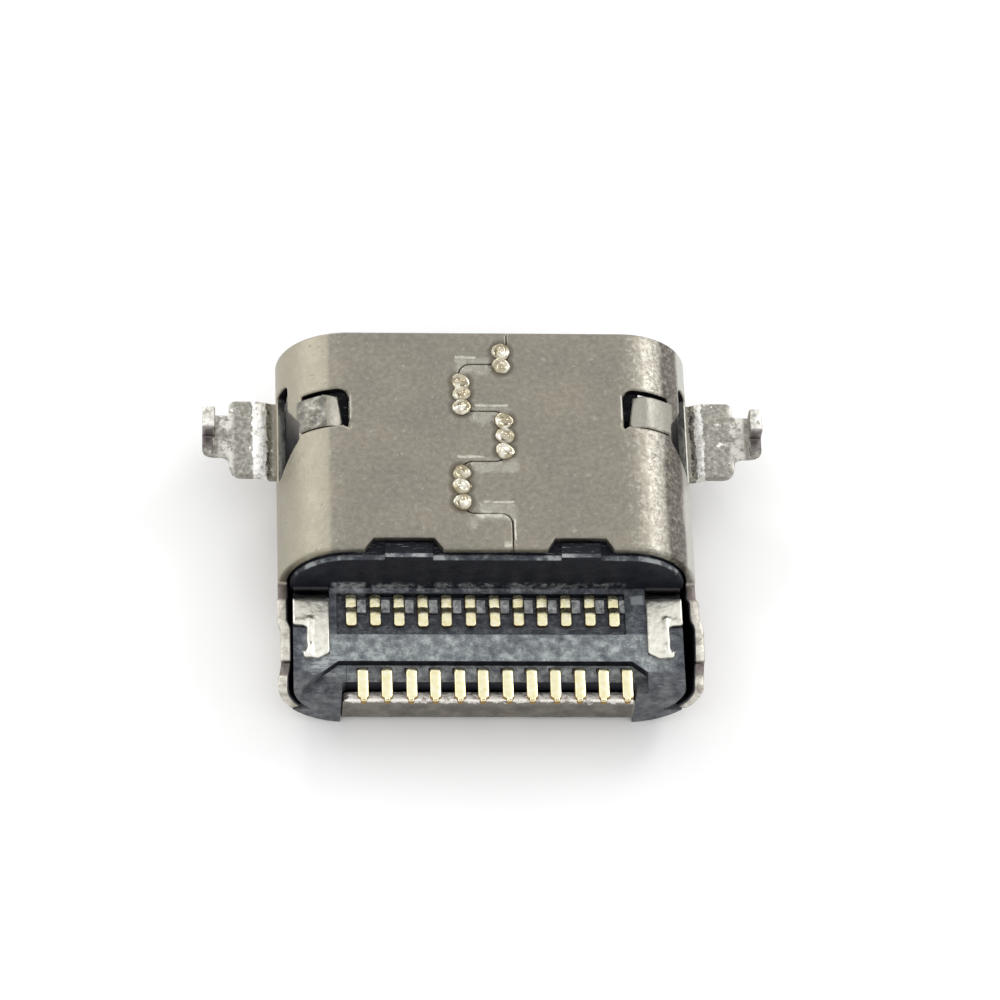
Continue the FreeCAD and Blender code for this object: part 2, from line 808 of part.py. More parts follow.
def lugs():
    """Lugs on the housing that fill the notches in the shell."""
    front = tube_length - notch_depth + lug_gap
    pieces = []
    for centre, width in zip(lug_centres, lug_widths):
        pieces.append(box(
            centre - width / 2, centre + width / 2, front, base_end,
            middle + inner_radius / 2, middle + inner_radius + lug_rise))
    return pieces


def rear_pocket():
    """Space sunk in the shelf behind the step, with slanted front corners."""
    floor = shelf - rear_pocket_depth
    start = tail_rise_start + rear_pocket_setback
    left = -row_half_width + row_shift - rear_pocket_left_margin
    right = row_half_width + row_shift
    left_corner = left - left_chamfer_run
    right_corner = right + right_chamfer_run
    outline = [
        (left, start), (right, start),
        (right_corner, start + right_chamfer_length), (right_corner, far),
        (left_corner, far), (left_corner, start + left_chamfer_length)]
    return plan_prism(outline, floor, shelf + sheet)


def board_pocket():
    """Space over the floor of the board side block, sunk in the shelf."""
    return box(
        board_block_left, board_block_right, ledge_end, board_block_end, shelf - slot_depth, shelf + sheet)


def tongue_body():
    """Plastic of the tongue with a slanted tip, and its thicker root."""
    low = middle - tongue_thickness / 2
    high = middle + tongue_thickness / 2
    blade = plan_prism(tongue_outline(tongue_tip, base_front), low, high)
    half = tongue_width
    reach = tongue_tip + tongue_tip_chamfer
    tips = []
    for start, away in ((high, tongue_tip_chamfer), (low, -tongue_tip_chamfer)):
        points = [
            Vector(-half, y_at(tongue_tip), start), Vector(-half, y_at(tongue_tip), start - away),
            Vector(-half, y_at(reach), start)]
        tips.append(prism(points, Vector(2 * half, 0, 0)))
    root = box(
        -tongue_width / 2, tongue_width / 2, tongue_root, base_front,
        middle - tongue_root_thickness / 2, middle + tongue_root_thickness / 2)
    return join([blade.cut(tips), root])


def rear_body():
    """Plastic behind the base, below the shelf, with the corner feet that close the shell's open corners."""
    lower_half = box(-far, far, base_front, shell_length, -far, shelf)
    inner_width = opening_width - 2 * flap_side_gap
    inner_height = opening_height - 2 * housing_gap
    body = round_bar(inner_width, inner_height, base_front, shell_length).common(lower_half)
    lip_space = box(
        -rear_lip_width / 2 - housing_gap, rear_lip_width / 2 + housing_gap,
        shell_length - sheet - floor_block_rear_gap, far, -far, far)
    feet_top = middle - flap_end_height - housing_gap
    feet_zone = box(-far, far, shell_length - corner_foot_length, far, -far, feet_top)
    feet = round_bar(outer_width, outer_height, 0, shell_length).common(feet_zone)
    return join([body, feet]).cut(lip_space)


def make_housing(contacts, plate, blocks):
    """Black moulding that holds everything: tongue rim, base, shelf and rear corners."""
    base = round_bar(
        opening_width - 2 * housing_gap, opening_height - 2 * housing_gap, base_front, base_end)
    rear = y_at(base_end)
    rear_edges = []
    for edge in base.Edges:
        reach = edge.BoundBox
        if abs(reach.YMin - rear) < 1e-6 and abs(reach.YMax - rear) < 1e-6:
            rear_edges.append(edge)
    base = base.makeFillet(base_edge_rounding, rear_edges)
    body = join([base, tongue_body(), rear_body()] + lugs())
    spaces = [board_pocket(), rear_pocket()] + wing_slots()
    return body.cut(spaces + [plate] + blocks + contacts).removeSplitter()


def make_shield(up):
    """Folded shield plate on the root of the tongue: up is 1 for the board side, -1 for the floor side."""
    half = tongue_width / 2 - shield_side_setback
    surface = middle + up * tongue_root_thickness / 2
    front = tongue_root + shield_front_setback
    level = surface + up * shield_thickness / 2
    flange_end = surface + up * shield_flange_height
    back = base_front - shield_thickness / 2
    path = [(front, level), (back, level), (back, flange_end)]
    return strip(
        path, shield_thickness, shield_thickness,
        lambda depth, z: Vector(-half, y_at(depth), z), Vector(2 * half, 0, 0))


def main():
    os.makedirs("parts", exist_ok=True)
    plate = make_mid_plate()
    board_contacts = [make_board_contact(index, x) for index, x in enumerate(contact_places())]
    floor_contacts = [make_floor_contact(index, x) for index, x in enumerate(contact_places())]
    contacts = board_contacts + floor_contacts
    board_block = make_board_block(contacts, plate)
    floor_block = make_floor_block(contacts, plate)
    nodes = {
        "shell": make_shell(),
        "housing": make_housing(contacts, plate, [board_block, floor_block]),
        "board_row_block": board_block,
        "floor_row_block": floor_block,
        "mid_plate": plate,
        "board_side_shield": make_shield(1),
        "floor_side_shield": make_shield(-1)}
    for index in range(contacts_per_row):
        nodes["board_contact_%02d" % (index + 1)] = board_contacts[index]
        nodes["floor_contact_%02d" % (index + 1)] = floor_contacts[index]
    for name, shape in nodes.items():
        box_size = shape.BoundBox
        print("%s solids %d valid %s volume %.4f x %.3f %.3f y %.3f %.3f z %.3f %.3f" % (
            name, len(shape.Solids), shape.isValid(), shape.Volume, box_size.XMin, box_size.XMax,
            box_size.YMin, box_size.YMax, box_size.ZMin, box_size.ZMax))
        shape.exportStep("parts/%s.step" % name)


main()
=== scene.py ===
import math

import bmesh
import bpy
import numpy as np
from mathutils import Matrix, Vector
from mathutils.geometry import delaunay_2d_cdt


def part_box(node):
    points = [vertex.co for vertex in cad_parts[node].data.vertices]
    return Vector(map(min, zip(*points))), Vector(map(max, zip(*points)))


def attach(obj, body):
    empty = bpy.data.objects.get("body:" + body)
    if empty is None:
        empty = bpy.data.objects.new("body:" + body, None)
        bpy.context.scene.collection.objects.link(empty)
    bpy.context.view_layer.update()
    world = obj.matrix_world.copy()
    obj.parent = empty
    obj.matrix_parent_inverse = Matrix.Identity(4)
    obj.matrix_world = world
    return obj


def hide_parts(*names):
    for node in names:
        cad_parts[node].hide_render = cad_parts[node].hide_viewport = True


# Board socket for a flat, rounded plug, dressed with its finishes.
# Lengths are in millimetres until a mesh is made. X runs across, Z is up, the mouth looks to +Y.
# A depth is the distance behind the plane of the mouth.
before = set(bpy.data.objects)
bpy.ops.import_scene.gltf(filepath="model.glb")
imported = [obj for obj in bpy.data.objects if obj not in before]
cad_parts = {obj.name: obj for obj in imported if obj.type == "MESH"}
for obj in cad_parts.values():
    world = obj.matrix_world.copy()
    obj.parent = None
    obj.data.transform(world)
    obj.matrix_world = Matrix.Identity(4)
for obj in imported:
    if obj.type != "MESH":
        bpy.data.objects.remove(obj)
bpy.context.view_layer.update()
MM = 0.001
mouth_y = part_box("shell")[1].y / MM

# Sheet of the shell
sheet = 0.22
half_sheet = sheet / 2
outer_width = 8.78
outer_height = 3.00
tube_length = 5.25
flap_length = 2.50
shell_length = tube_length + flap_length
middle = outer_height / 2
middle_radius = middle - half_sheet
flat_half = outer_width / 2 - middle
quarter = middle_radius * math.pi / 2
perimeter = 4 * (flat_half + quarter)
side_line = flat_half + quarter
sheet_edge = 0.035
sheet_spacing = 0.09
ear_spacing = 0.07

# Side flaps behind the tube, as distances behind it and how far each flap leans out there
left_lean = ((0.35, 0.43, 0.91, 1.05, 1.85, 2.25), (0.0, 0.02, 0.02, -0.05, -0.05, 0.01))
right_lean = ((0.35, 0.43, 0.87, 1.03, 1.95, 2.35), (0.0, 0.06, 0.06, 0.14, 0.12, 0.07))
relief_start = shell_length - 0.65
relief_end = relief_start + 0.33
relief_depth = 0.12
flap_corner_height = 0.88
corner_start = shell_length - 0.22
lip_half_width = 3.04
lip_height = 1.00
lip_bend = 0.18
lip_bend_start = shell_length - half_sheet - lip_bend
bend_relief = 0.06

# Notches in the tube's rear edge, as centre, width at the bottom and width at the mouth
notches = ((-1.80, 1.24, 1.64), (1.88, 1.04, 1.38))
notch_depth = 0.27

# Seam of the shell and the spots that close it
seam_gap = 0.010
seam_corner = 0.24
seam_points = (
    (0.47, 0.0), (0.47, 0.78), (-0.56, 0.78), (-0.56, 1.93), (0.40, 1.93),
    (0.40, 3.15), (-0.56, 3.15), (-0.56, 4.40), (0.47, 4.40), (0.47, tube_length))
weld_spots = (
    (0.34, 0.48), (0.34, 0.82), (-0.53, 1.23), (-0.52, 1.50), (-0.52, 1.84),
    (0.36, 2.18), (0.37, 2.54), (0.36, 2.91), (-0.56, 3.44), (-0.57, 3.76), (-0.56, 4.14))
weld_radius = 0.225
weld_height = 0.07
weld_foot = 0.03

# Windows in the round sides, in degrees up from the side line
side_window = (6.0, 31.0, 0.90, 2.40)
side_window_rear_angle = 45.0
side_window_toe = (20.0, 3.00)
leaf_window = (48.0, 90.0, 1.38, 2.29)
leaf_slant = 0.12
leaf_front_gap = 0.10
leaf_rear_gap = 0.03
leaf_turn_angle = 69.0
leaf_curl_length = 0.24
leaf_curl_angle = 38.0
leaf_sink = 0.01
leaf_sink_run = 0.30

# Ears folded out of the shell's sides
board_plane = middle + 0.075
ear_front = 0.87
ear_back = 2.68
plate_end = outer_width / 2 + 1.00
ear_end = outer_width / 2 + 1.57
neck_front = 1.22
neck_back = 2.17
prong_front = 1.30
prong_back = 1.85
prong_height = 0.53
prong_shoulder = 0.16
ear_bend = 0.14
ear_drop = 0.11
ear_root_run = 0.36
ear_root_flat = 0.10
prong_swell = 0.05

# Rows of contacts, with the depths of the parts that lie open behind the tube
pitch = 0.50
contacts_per_row = 12
contact_width = 0.24
contact_thickness = 0.12
contact_bend = 0.05
contact_edge = 0.022
contact_crown = 0.022
contact_sway = 0.012
contact_jog = 0.26
long_places = (0, 3, 8, 11)
row_shift = 0.111
tongue_tip = 0.45
tongue_level = 0.29
base_front = 4.80
base_end = 5.37
soldered_level = board_plane - contact_thickness / 2
covered_level = soldered_level - 0.135
pad_level = soldered_level - 0.05
pad_fall = 0.045
foot_fall = 0.03
tail_run_level = soldered_level - 0.595
ledge_end = base_end + 0.13
pad_start = ledge_end + 0.07
pad_end = 5.84
foot_front = 5.95
foot_end = 6.30
tail_rise_start = 7.10
tail_rise_end = 7.32
tail_end = 7.98
nub_end = 8.085
nub_width = 0.13

# Stamped plate between the rows, with latch notches in the tongue and a solder wing on each side
plate_thickness = 0.15
blade_half_width = 3.345
latch_notch_depth = 0.30
latch_notch_front = 1.50
latch_notch_back = 2.20
wing_outer = 4.08
wing_inner = 3.32
wing_start = 4.86
wing_dip = 0.17
wing_end = 7.05
wing_notch_edge = 3.80
wing_notch_front = 6.27
wing_notch_end = 6.90
wing_lip = 0.05
wing_lip_break = 6.62
plate_edge = 0.03
blade_spacing = 0.12
strip_spacing = 0.05

# Camera of the photograph: turned and raised round the socket, at a distance from the mouth's foot
camera_turn = math.radians(8.150)
camera_rise = math.radians(60.0)
camera_roll = math.radians(-7.322)
camera_distance = 110.0
camera_scale = 45.959
camera_shift_across = -0.5366
camera_shift_up = 2.0661
photo_width = 1000
sensor_width = 36.0

# Lights, in watts
left_power = 0.014
right_power = 0.017
high_power = 0.010
world_strength = 1.0


def metres(points):
    """Places given as across, depth and height in millimetres, as points in metres."""
    across, depth, height = points
    return np.stack([across, mouth_y - depth, height], axis=-1) * MM


def clean_loop(points):
    """A closed outline without repeated points, run so that its inside is on the left."""
    points = np.array(points, float)
    keep = np.linalg.norm(points - np.roll(points, 1, axis=0), axis=1) > 1e-6
    return points[keep]


def loop_area(points):
    """Signed area of a closed outline."""
    after = np.roll(points, -1, axis=0)
    return 0.5 * np.sum(points[:, 0] * after[:, 1] - points[:, 1] * after[:, 0])


def rounded(corners, closed=True):
    """Points of an outline whose corners are given as (u, v) or as (u, v, rounding radius)."""
    result = []
    count = len(corners)
    for index, corner in enumerate(corners):
        here = np.array(corner[:2], float)
        radius = corner[2] if len(corner) > 2 else 0.0
        at_end = not closed and index in (0, count - 1)
        if radius == 0.0 or at_end:
            result.append(here)
            continue
        before = np.array(corners[index - 1][:2], float) - here
        after = np.array(corners[(index + 1) % count][:2], float) - here
        before /= np.linalg.norm(before)
        after /= np.linalg.norm(after)
        half_angle = math.acos(max(-1.0, min(1.0, float(before @ after)))) / 2
        reach = radius / math.tan(half_angle)
        toward = (before + after) / np.linalg.norm(before + after)
        centre = here + toward * radius / math.sin(half_angle)
        first = here + before * reach - centre
        last = here + after * reach - centre
        for share in np.linspace(0.0, 1.0, 7):
            direction = first * (1 - share) + last * share
            result.append(centre + direction / np.linalg.norm(direction) * radius)
    return result


def divided(points, spacing, closed=True):
    """Points of an outline with its long edges divided."""
    result = []
    count = len(points) if closed else len(points) - 1
    for index in range(count):
        start = np.array(points[index], float)
        end = np.array(points[(index + 1) % len(points)], float)
        steps = max(1, int(round(np.linalg.norm(end - start) / spacing)))
        for step in range(steps):
            result.append(start + (end - start) * step / steps)
    if not closed:
        result.append(np.array(points[-1], float))
    return result


def moved_left(points, distance, closed=True):
    """An outline, or an open line, moved to its left by a distance."""
    points = np.array(points)
    along = np.roll(points, -1, axis=0) - points
    if not closed:
        along = along[:-1]
    along /= np.linalg.norm(along, axis=1)[:, None]
    left = np.stack([-along[:, 1], along[:, 0]], axis=1)
    if closed:
        before = np.roll(left, 1, axis=0)
        after = left
    else:
        before = np.concatenate([left[:1], left])
        after = np.concatenate([left, left[-1:]])
    shared = np.maximum(1 + np.sum(before * after, axis=1), 0.4)
    return points + (before + after) / shared[:, None] * distance


def inside_loop(points, loop):
    """Which points lie inside a closed outline."""
    inside = np.zeros(len(points), bool)
    after = np.roll(loop, -1, axis=0)
    for (u0, v0), (u1, v1) in zip(loop, after):
        if v0 == v1:
            continue
        crosses = (v0 > points[:, 1]) != (v1 > points[:, 1])
        at = u0 + (points[:, 1] - v0) * (u1 - u0) / (v1 - v0)
        inside ^= crosses & (points[:, 0] < at)
    return inside


def on_sheet(points, loops):
    """Which points lie inside an outline and outside its holes."""
    inside = inside_loop(points, loops[0])
    for loop in loops[1:]:
        inside &= ~inside_loop(points, loop)
    return inside


def far_from_loop(points, loop, distance):
    """Which points lie further than a distance from an outline."""
    far = np.ones(len(points), bool)
    after = np.roll(loop, -1, axis=0)
    for start, end in zip(loop, after):
        along = end - start
        share = np.clip((points - start) @ along / max(along @ along, 1e-12), 0.0, 1.0)
        gap = points - start - share[:, None] * along
        far &= np.sum(gap * gap, axis=1) > distance * distance
    return far


def prepared_loops(outline, holes, spacing):
    """Outline and holes with their long edges divided, the holes run the other way round."""
    loops = []
    for index, loop in enumerate([outline] + holes):
        loop = clean_loop(loop)
        wanted = 1 if index == 0 else -1
        if loop_area(loop) * wanted < 0:
            loop = loop[::-1]
        loops.append(clean_loop(divided(loop, spacing)))
    return loops


def edge_rings(loops, edge):
    """Rings of points that step in from each edge, so that the sheet's edges come out rounded.

    Gives the points, their depths below the face, the rings' first points, and quads between rings.
    """
    points = []
    drops = []
    starts = []
    quads = []
    for loop in loops:
        size = len(loop)
        ring_starts = []
        for inset in (0.0, 0.3 * edge, edge, 1.5 * edge):
            ring_starts.append(len(points))
            points.extend(moved_left(loop, inset))
            short = max(edge - inset, 0.0)
            drops.extend([edge - math.sqrt(edge * edge - short * short)] * size)
        starts.append(ring_starts)
        for low, high in zip(ring_starts, ring_starts[1:]):
            for step in range(size):
                following = (step + 1) % size
                quads.append((low + step, low + following, high + following, high + step))
    return np.array(points), np.array(drops), starts, quads


def grid_inside(loops, points, spacing, clear, seed):
    """Points of a slightly shaken grid that lie on the sheet, clear of its edges."""
    random = np.random.default_rng(seed)
    low = points.min(axis=0)
    high = points.max(axis=0)
    across, along = np.meshgrid(
        np.arange(low[0] + spacing, high[0], spacing),
        np.arange(low[1] + spacing, high[1], spacing * 0.87))
    across = across + (np.arange(across.shape[0]) % 2)[:, None] * spacing / 2
    grid = np.stack([across.ravel(), along.ravel()], axis=1)
    grid += random.uniform(-0.12, 0.12, grid.shape) * spacing
    keep = on_sheet(grid, loops)
    for loop in loops:
        keep &= far_from_loop(grid, loop, clear)
    return grid[keep]


def sheet_piece(outline, holes, spacing, edge, seed):
    """Flat pattern of a sheet: points, depths below the face, triangles, quads at the edges, rims."""
    loops = prepared_loops(outline, holes, spacing)
    points, drops, starts, quads = edge_rings(loops, edge)
    grid = grid_inside(loops, points, spacing, 1.5 * edge + 0.45 * spacing, seed)
    inner = [np.arange(ring[-1], ring[-1] + len(loop)) for ring, loop in zip(starts, loops)]
    edges = []
    offset = 0
    for ids in inner:
        size = len(ids)
        edges += [(offset + step, offset + (step + 1) % size) for step in range(size)]
        offset += size
    inner_loops = [points[ids] for ids in inner]
    triangles, crossings = triangulated(np.concatenate(inner_loops), grid, edges, inner_loops)
    added = np.concatenate([grid, crossings])
    ids = np.concatenate(inner + [np.arange(len(points), len(points) + len(added))])
    rims = [(ring[0], len(loop)) for ring, loop in zip(starts, loops)]
    return (
        np.concatenate([points, added]), np.concatenate([drops, np.zeros(len(added))]),
        ids[triangles], quads, rims)


def triangulated(ring_points, grid, edges, loops):
    """Triangles between the rings and the grid points, without those outside or in a hole.

    The second result holds the points where a ring crosses itself, which come after the others.
    """
    everything = np.concatenate([ring_points, grid])
    found = delaunay_2d_cdt([Vector(point) for point in everything], edges, [], 1, 1e-7)
    places = np.array([tuple(point) for point in found[0]])
    origins = []
    crossings = []
    for place, source in zip(places, found[3]):
        if source:
            origins.append(source[0])
        else:
            origins.append(len(everything) + len(crossings))
            crossings.append(place)
    triangles = np.array([face for face in found[2] if len(face) == 3])
    keep = on_sheet(places[triangles].mean(axis=1), loops)
    return np.array(origins)[triangles[keep]], np.array(crossings).reshape(-1, 2)


def solid_sheet(name, outline, holes, place, spacing, edge, seed, relief=None, thickness=sheet):
    """Object of a sheet of even thickness, from its flat pattern and the way it is folded.

    Place turns distances across and along the pattern and a distance out of its middle into a place.
    The inner face takes the second finish, and the walls of its holes the third.
    """
    points, drops, triangles, quads, rims = sheet_piece(outline, holes, spacing, edge, seed)
    count = len(points)
    lift = np.zeros(count) if relief is None else relief(points[:, 0], points[:, 1])
    outer = metres(place(points[:, 0], points[:, 1], thickness / 2 - drops + lift))
    inner = metres(place(points[:, 0], points[:, 1], -thickness / 2 + drops))
    faces = [tuple(face) for face in triangles] + quads
    back = [tuple(int(corner) + count for corner in reversed(face)) for face in faces]
    sides = []
    rim = rims[0][1]
    for start, size in rims:
        for step in range(size):
            first = start + step
            second = start + (step + 1) % size
            sides.append((second, first, first + count, second + count))
    finishes = [0] * len(faces) + [1] * len(back) + [0] * rim + [2] * (len(sides) - rim)
    return new_object(name, np.concatenate([outer, inner]), faces + back + sides, finishes)


def new_object(name, points, faces, finishes=None):
    """Mesh object from points in metres and faces, shaded smooth, its faces turned outward."""
    mesh = bpy.data.meshes.new(name)
    corners = [tuple(int(corner) for corner in face) for face in faces]
    mesh.from_pydata([tuple(point) for point in points], [], corners)
    if finishes is not None:
        mesh.polygons.foreach_set("material_index", finishes)
    mesh.validate()
    mesh.shade_smooth()
    made = bpy.data.objects.new(name, mesh)
    bpy.context.scene.collection.objects.link(made)
    turn_out(made)
    return made


def turn_out(made):
    """Turns an object's faces outward."""
    shape = bmesh.new()
    shape.from_mesh(made.data)
    bmesh.ops.recalc_face_normals(shape, faces=shape.faces)
    shape.to_mesh(made.data)
    shape.free()


def joined(name, parts):
    """One object from several."""
    first = parts[0]
    with bpy.context.temp_override(active_object=first, selected_editable_objects=parts, object=first):
        bpy.ops.object.join()
    first.name = name
    first.data.name = name
    return first


def section(along):
    """Place and outward normal of the rolled sheet's middle, at a distance round it from its top."""
    along = np.mod(along, perimeter)
    right_start = flat_half
    bottom_start = right_start + 2 * quarter
    left_start = bottom_start + 2 * flat_half
    top_start = left_start + 2 * quarter
    right_angle = (along - right_start) / middle_radius
    left_angle = (along - left_start) / middle_radius
    past = [along >= start for start in (top_start, left_start, bottom_start, right_start)]
    normal_x = np.select(past, [0.0, -np.sin(left_angle), 0.0, np.sin(right_angle)], 0.0)
    normal_z = np.select(past, [1.0, -np.cos(left_angle), -1.0, np.cos(right_angle)], 1.0)
    centre_x = np.select(past, [
        -flat_half + (along - top_start), -flat_half, flat_half - (along - bottom_start), flat_half], along)
    return centre_x + middle_radius * normal_x, middle + middle_radius * normal_z, normal_x, normal_z


def leaf_curve():
    """Way of the leaf from its root: distances along it, places across and up, and headings."""
    steps = np.linspace(0.0, 1.5, 301)
    root_angle = math.radians(leaf_window[0])
    turn_at = (math.radians(leaf_turn_angle) - root_angle) * middle_radius
    arc = np.minimum(steps, turn_at)
    heading = root_angle + math.pi / 2 + arc / middle_radius
    sink_share = np.clip(steps / leaf_sink_run, 0.0, 1.0)
    heading += leaf_sink * math.pi / 2 / leaf_sink_run * np.sin(math.pi * sink_share)
    curl_share = np.clip((steps - turn_at) / 0.08 + 0.5, 0.0, 1.0)
    heading += math.radians(leaf_curl_angle) * curl_share
    step = steps[1]
    across = np.concatenate([[0.0], np.cumsum(np.cos(heading[:-1]) * step)])
    up = np.concatenate([[0.0], np.cumsum(np.sin(heading[:-1]) * step)])
    across += flat_half + middle_radius * math.cos(root_angle)
    up += middle + middle_radius * math.sin(root_angle)
    return steps, across, up, heading


leaf_way = leaf_curve()


def from_top(along):
    """Distance round the tube from its top centre, to either side."""
    return np.abs(np.mod(along + perimeter / 2, perimeter) - perimeter / 2)


def window_line(angle):
    """Distance round the tube from its top centre to an angle above the side line."""
    return side_line - math.radians(angle) * middle_radius


def place_on_shell(along, depth, out):
    """Place on the folded shell, for a distance round it, a depth and a distance out of its middle."""
    x, z, normal_x, normal_z = section(along)
    side = np.where(np.mod(along, perimeter) < perimeter / 2, 1.0, -1.0)
    behind = depth - tube_length
    lean = np.where(side > 0, np.interp(behind, *right_lean), np.interp(behind, *left_lean))
    x = x + side * lean * np.clip(np.abs(x) / flat_half, 0.0, 1.0) * (behind > 0)

    away = from_top(along)
    root = window_line(leaf_window[0])
    on_leaf = (away < root) & (away > flat_half + 0.01)
    on_leaf &= depth > leaf_window[2] + leaf_front_gap - 0.01
    on_leaf &= depth < leaf_window[3] - leaf_rear_gap + 0.01
    steps, across, up, heading = leaf_way
    reach = np.clip(root - away, 0.0, steps[-1])
    leaf_heading = np.interp(reach, steps, heading)
    x = np.where(on_leaf, side * np.interp(reach, steps, across), x)
    z = np.where(on_leaf, np.interp(reach, steps, up), z)
    normal_x = np.where(on_leaf, side * np.sin(leaf_heading), normal_x)
    normal_z = np.where(on_leaf, -np.cos(leaf_heading), normal_z)

    on_lip = away > perimeter / 2 - lip_half_width - 0.001
    over = np.where(on_lip, np.maximum(depth - lip_bend_start, 0.0), 0.0)
    turn = np.minimum(over / lip_bend, math.pi / 2)
    past = np.maximum(over - lip_bend * math.pi / 2, 0.0)
    back = np.where(on_lip, np.minimum(depth, lip_bend_start), depth) + lip_bend * np.sin(turn)
    rise = lip_bend * (1 - np.cos(turn)) + past
    return (
        x + normal_x * np.cos(turn) * out,
        back + np.sin(turn) * out,
        z + rise + normal_z * np.cos(turn) * out)


def rear_edge(side):
    """Corners of the shell's rear edge on one side, from the seam out to the middle of the lip."""
    centre, bottom_width, mouth_width = notches[0 if side < 0 else 1]
    centre = abs(centre)
    bottom = tube_length - notch_depth
    corner_line = side_line + math.asin(flap_corner_height / middle_radius) * middle_radius
    lip_line = perimeter / 2 - lip_half_width
    lip_end = lip_bend_start + lip_bend * math.pi / 2 + lip_height - half_sheet - lip_bend
    return [
        (centre - mouth_width / 2, tube_length, 0.05), (centre - bottom_width / 2, bottom, 0.05),
        (centre + bottom_width / 2, bottom, 0.05), (centre + mouth_width / 2, tube_length, 0.05),
        (side_line, tube_length, 0.08), (side_line, relief_start, 0.04),
        (side_line + relief_depth, relief_start, 0.06), (side_line + relief_depth, relief_end, 0.06),
        (side_line, relief_end, 0.04), (side_line, shell_length, 0.10),
        (corner_line, shell_length, 0.10), (corner_line, corner_start, 0.05),
        (lip_line - bend_relief, corner_start), (lip_line - bend_relief, lip_bend_start - 0.02),
        (lip_line, lip_bend_start - 0.02), (lip_line, lip_end, 0.16)]


def shell_outline():
    """Flat pattern of the whole shell, unrolled from the seam."""
    seam = rounded([(x, depth, seam_corner) for x, depth in seam_points], closed=False)
    seam = divided(seam, sheet_spacing, closed=False)
    right_of_seam = moved_left(seam, -seam_gap / 2, closed=False)
    left_of_seam = moved_left(seam, seam_gap / 2, closed=False)
    if right_of_seam[0][0] < left_of_seam[0][0]:
        right_of_seam, left_of_seam = left_of_seam, right_of_seam
    left_rear = [(perimeter - corner[0],) + tuple(corner[1:]) for corner in rear_edge(-1)]
    right_rear = rear_edge(1)[::-1]
    corners = [(perimeter + point[0], point[1]) for point in left_of_seam]
    corners += left_rear + right_rear
    corners += [tuple(point) for point in right_of_seam[::-1]]
    return rounded(corners)


def windows(side):
    """Holes in the flat pattern on one side: the side window, and the slot round the leaf."""
    low, high, front, back = side_window
    toe_angle, toe_back = side_window_toe
    near = window_line(low)
    far = window_line(high)
    rear = window_line(side_window_rear_angle)
    toe = window_line(toe_angle)
    side_hole = [
        (near, front, 0.10), (far, front, 0.14), (far, front + 0.65, 0.20), (rear, back - 0.40, 0.20),
        (rear, back, 0.12), (toe, toe_back, 0.10), (near, toe_back, 0.06)]
    root = window_line(leaf_window[0])
    top = window_line(leaf_window[1])
    front, back = leaf_window[2:]
    leaf_end = window_line(leaf_turn_angle) - leaf_curl_length
    leaf_front = front + leaf_front_gap
    leaf_back = back - leaf_rear_gap
    slot = [
        (root, front, 0.04), (top, front, 0.24), (top, back, 0.24), (root, back, 0.012),
        (root, leaf_back, 0.012), (leaf_end - leaf_slant, leaf_back, 0.14),
        (leaf_end, leaf_front, 0.05), (root, leaf_front, 0.04)]
    holes = []
    for corners in (side_hole, slot):
        loop = np.array(rounded(corners))
        if side < 0:
            loop[:, 0] = perimeter - loop[:, 0]
        holes.append(loop)
    return holes


def gentle_relief(along, depth):
    """Small unevenness of the outer face, in millimetres."""
    x = section(along)[0]
    waves = np.sin(1.9 * x + 0.8 * depth) * np.sin(1.1 * depth - 0.7 * x + 2.0)
    return 0.002 * waves * (depth < tube_length)


class Strip:
    """Middle line of a folded strip, from its corners: lengths along it, places and headings."""

    def __init__(self, corners):
        line = np.array(divided(rounded(corners, closed=False), 0.02, closed=False))
        self.first, self.second = line.T
        self.lengths = np.concatenate([[0.0], np.cumsum(np.linalg.norm(np.diff(line, axis=0), axis=1))])
        self.heading = np.unwrap(np.arctan2(
            np.gradient(self.second, self.lengths), np.gradient(self.first, self.lengths)))
        self.total = self.lengths[-1]

    def at(self, along, out):
        """Place at a distance along the strip and a distance out of its middle."""
        angle = np.interp(along, self.lengths, self.heading)
        return (
            np.interp(along, self.lengths, self.first) - np.sin(angle) * out,
            np.interp(along, self.lengths, self.second) + np.cos(angle) * out)

    def along_at(self, first):
        """Distance along the strip where its first coordinate has a value."""
        return float(np.interp(first, self.first, self.lengths))


def make_ear(side):
    """Solder tab: plate, neck and prong in one folded strip."""
    level = board_plane - half_sheet
    wall = outer_width / 2
    strip = Strip([
        (wall - half_sheet, level - ear_drop), (wall + ear_root_flat, level - ear_drop, 0.10),
        (wall + ear_root_run, level, 0.10), (ear_end - half_sheet, level, ear_bend),
        (ear_end - half_sheet, board_plane + prong_height)])

    def place(along, depth, out):
        x, z = strip.at(along, out)
        return side * x, depth, z

    total = strip.total
    neck = strip.along_at(plate_end)
    shoulder = total - (prong_height - prong_shoulder)
    board_level = total - prong_height + 0.02
    outline = rounded([
        (0.0, ear_front), (neck, ear_front, 0.14), (neck, neck_front, 0.09),
        (board_level, neck_front, 0.05), (board_level, prong_front, 0.03), (total, prong_front, 0.06),
        (total, prong_back, 0.06), (shoulder, prong_back, 0.03), (shoulder, neck_back, 0.12),
        (neck, neck_back, 0.17), (neck, ear_back, 0.26), (0.0, ear_back)])

    def relief(along, depth):
        return prong_swell * np.clip((along - board_level) / 0.1, 0.0, 1.0)

    return solid_sheet("ear", outline, [], place, ear_spacing, sheet_edge, 5, relief)


def dress(piece, *finishes):
    """Gives a piece its finishes, in the order that its faces name them."""
    for finish in finishes:
        piece.data.materials.append(finish)


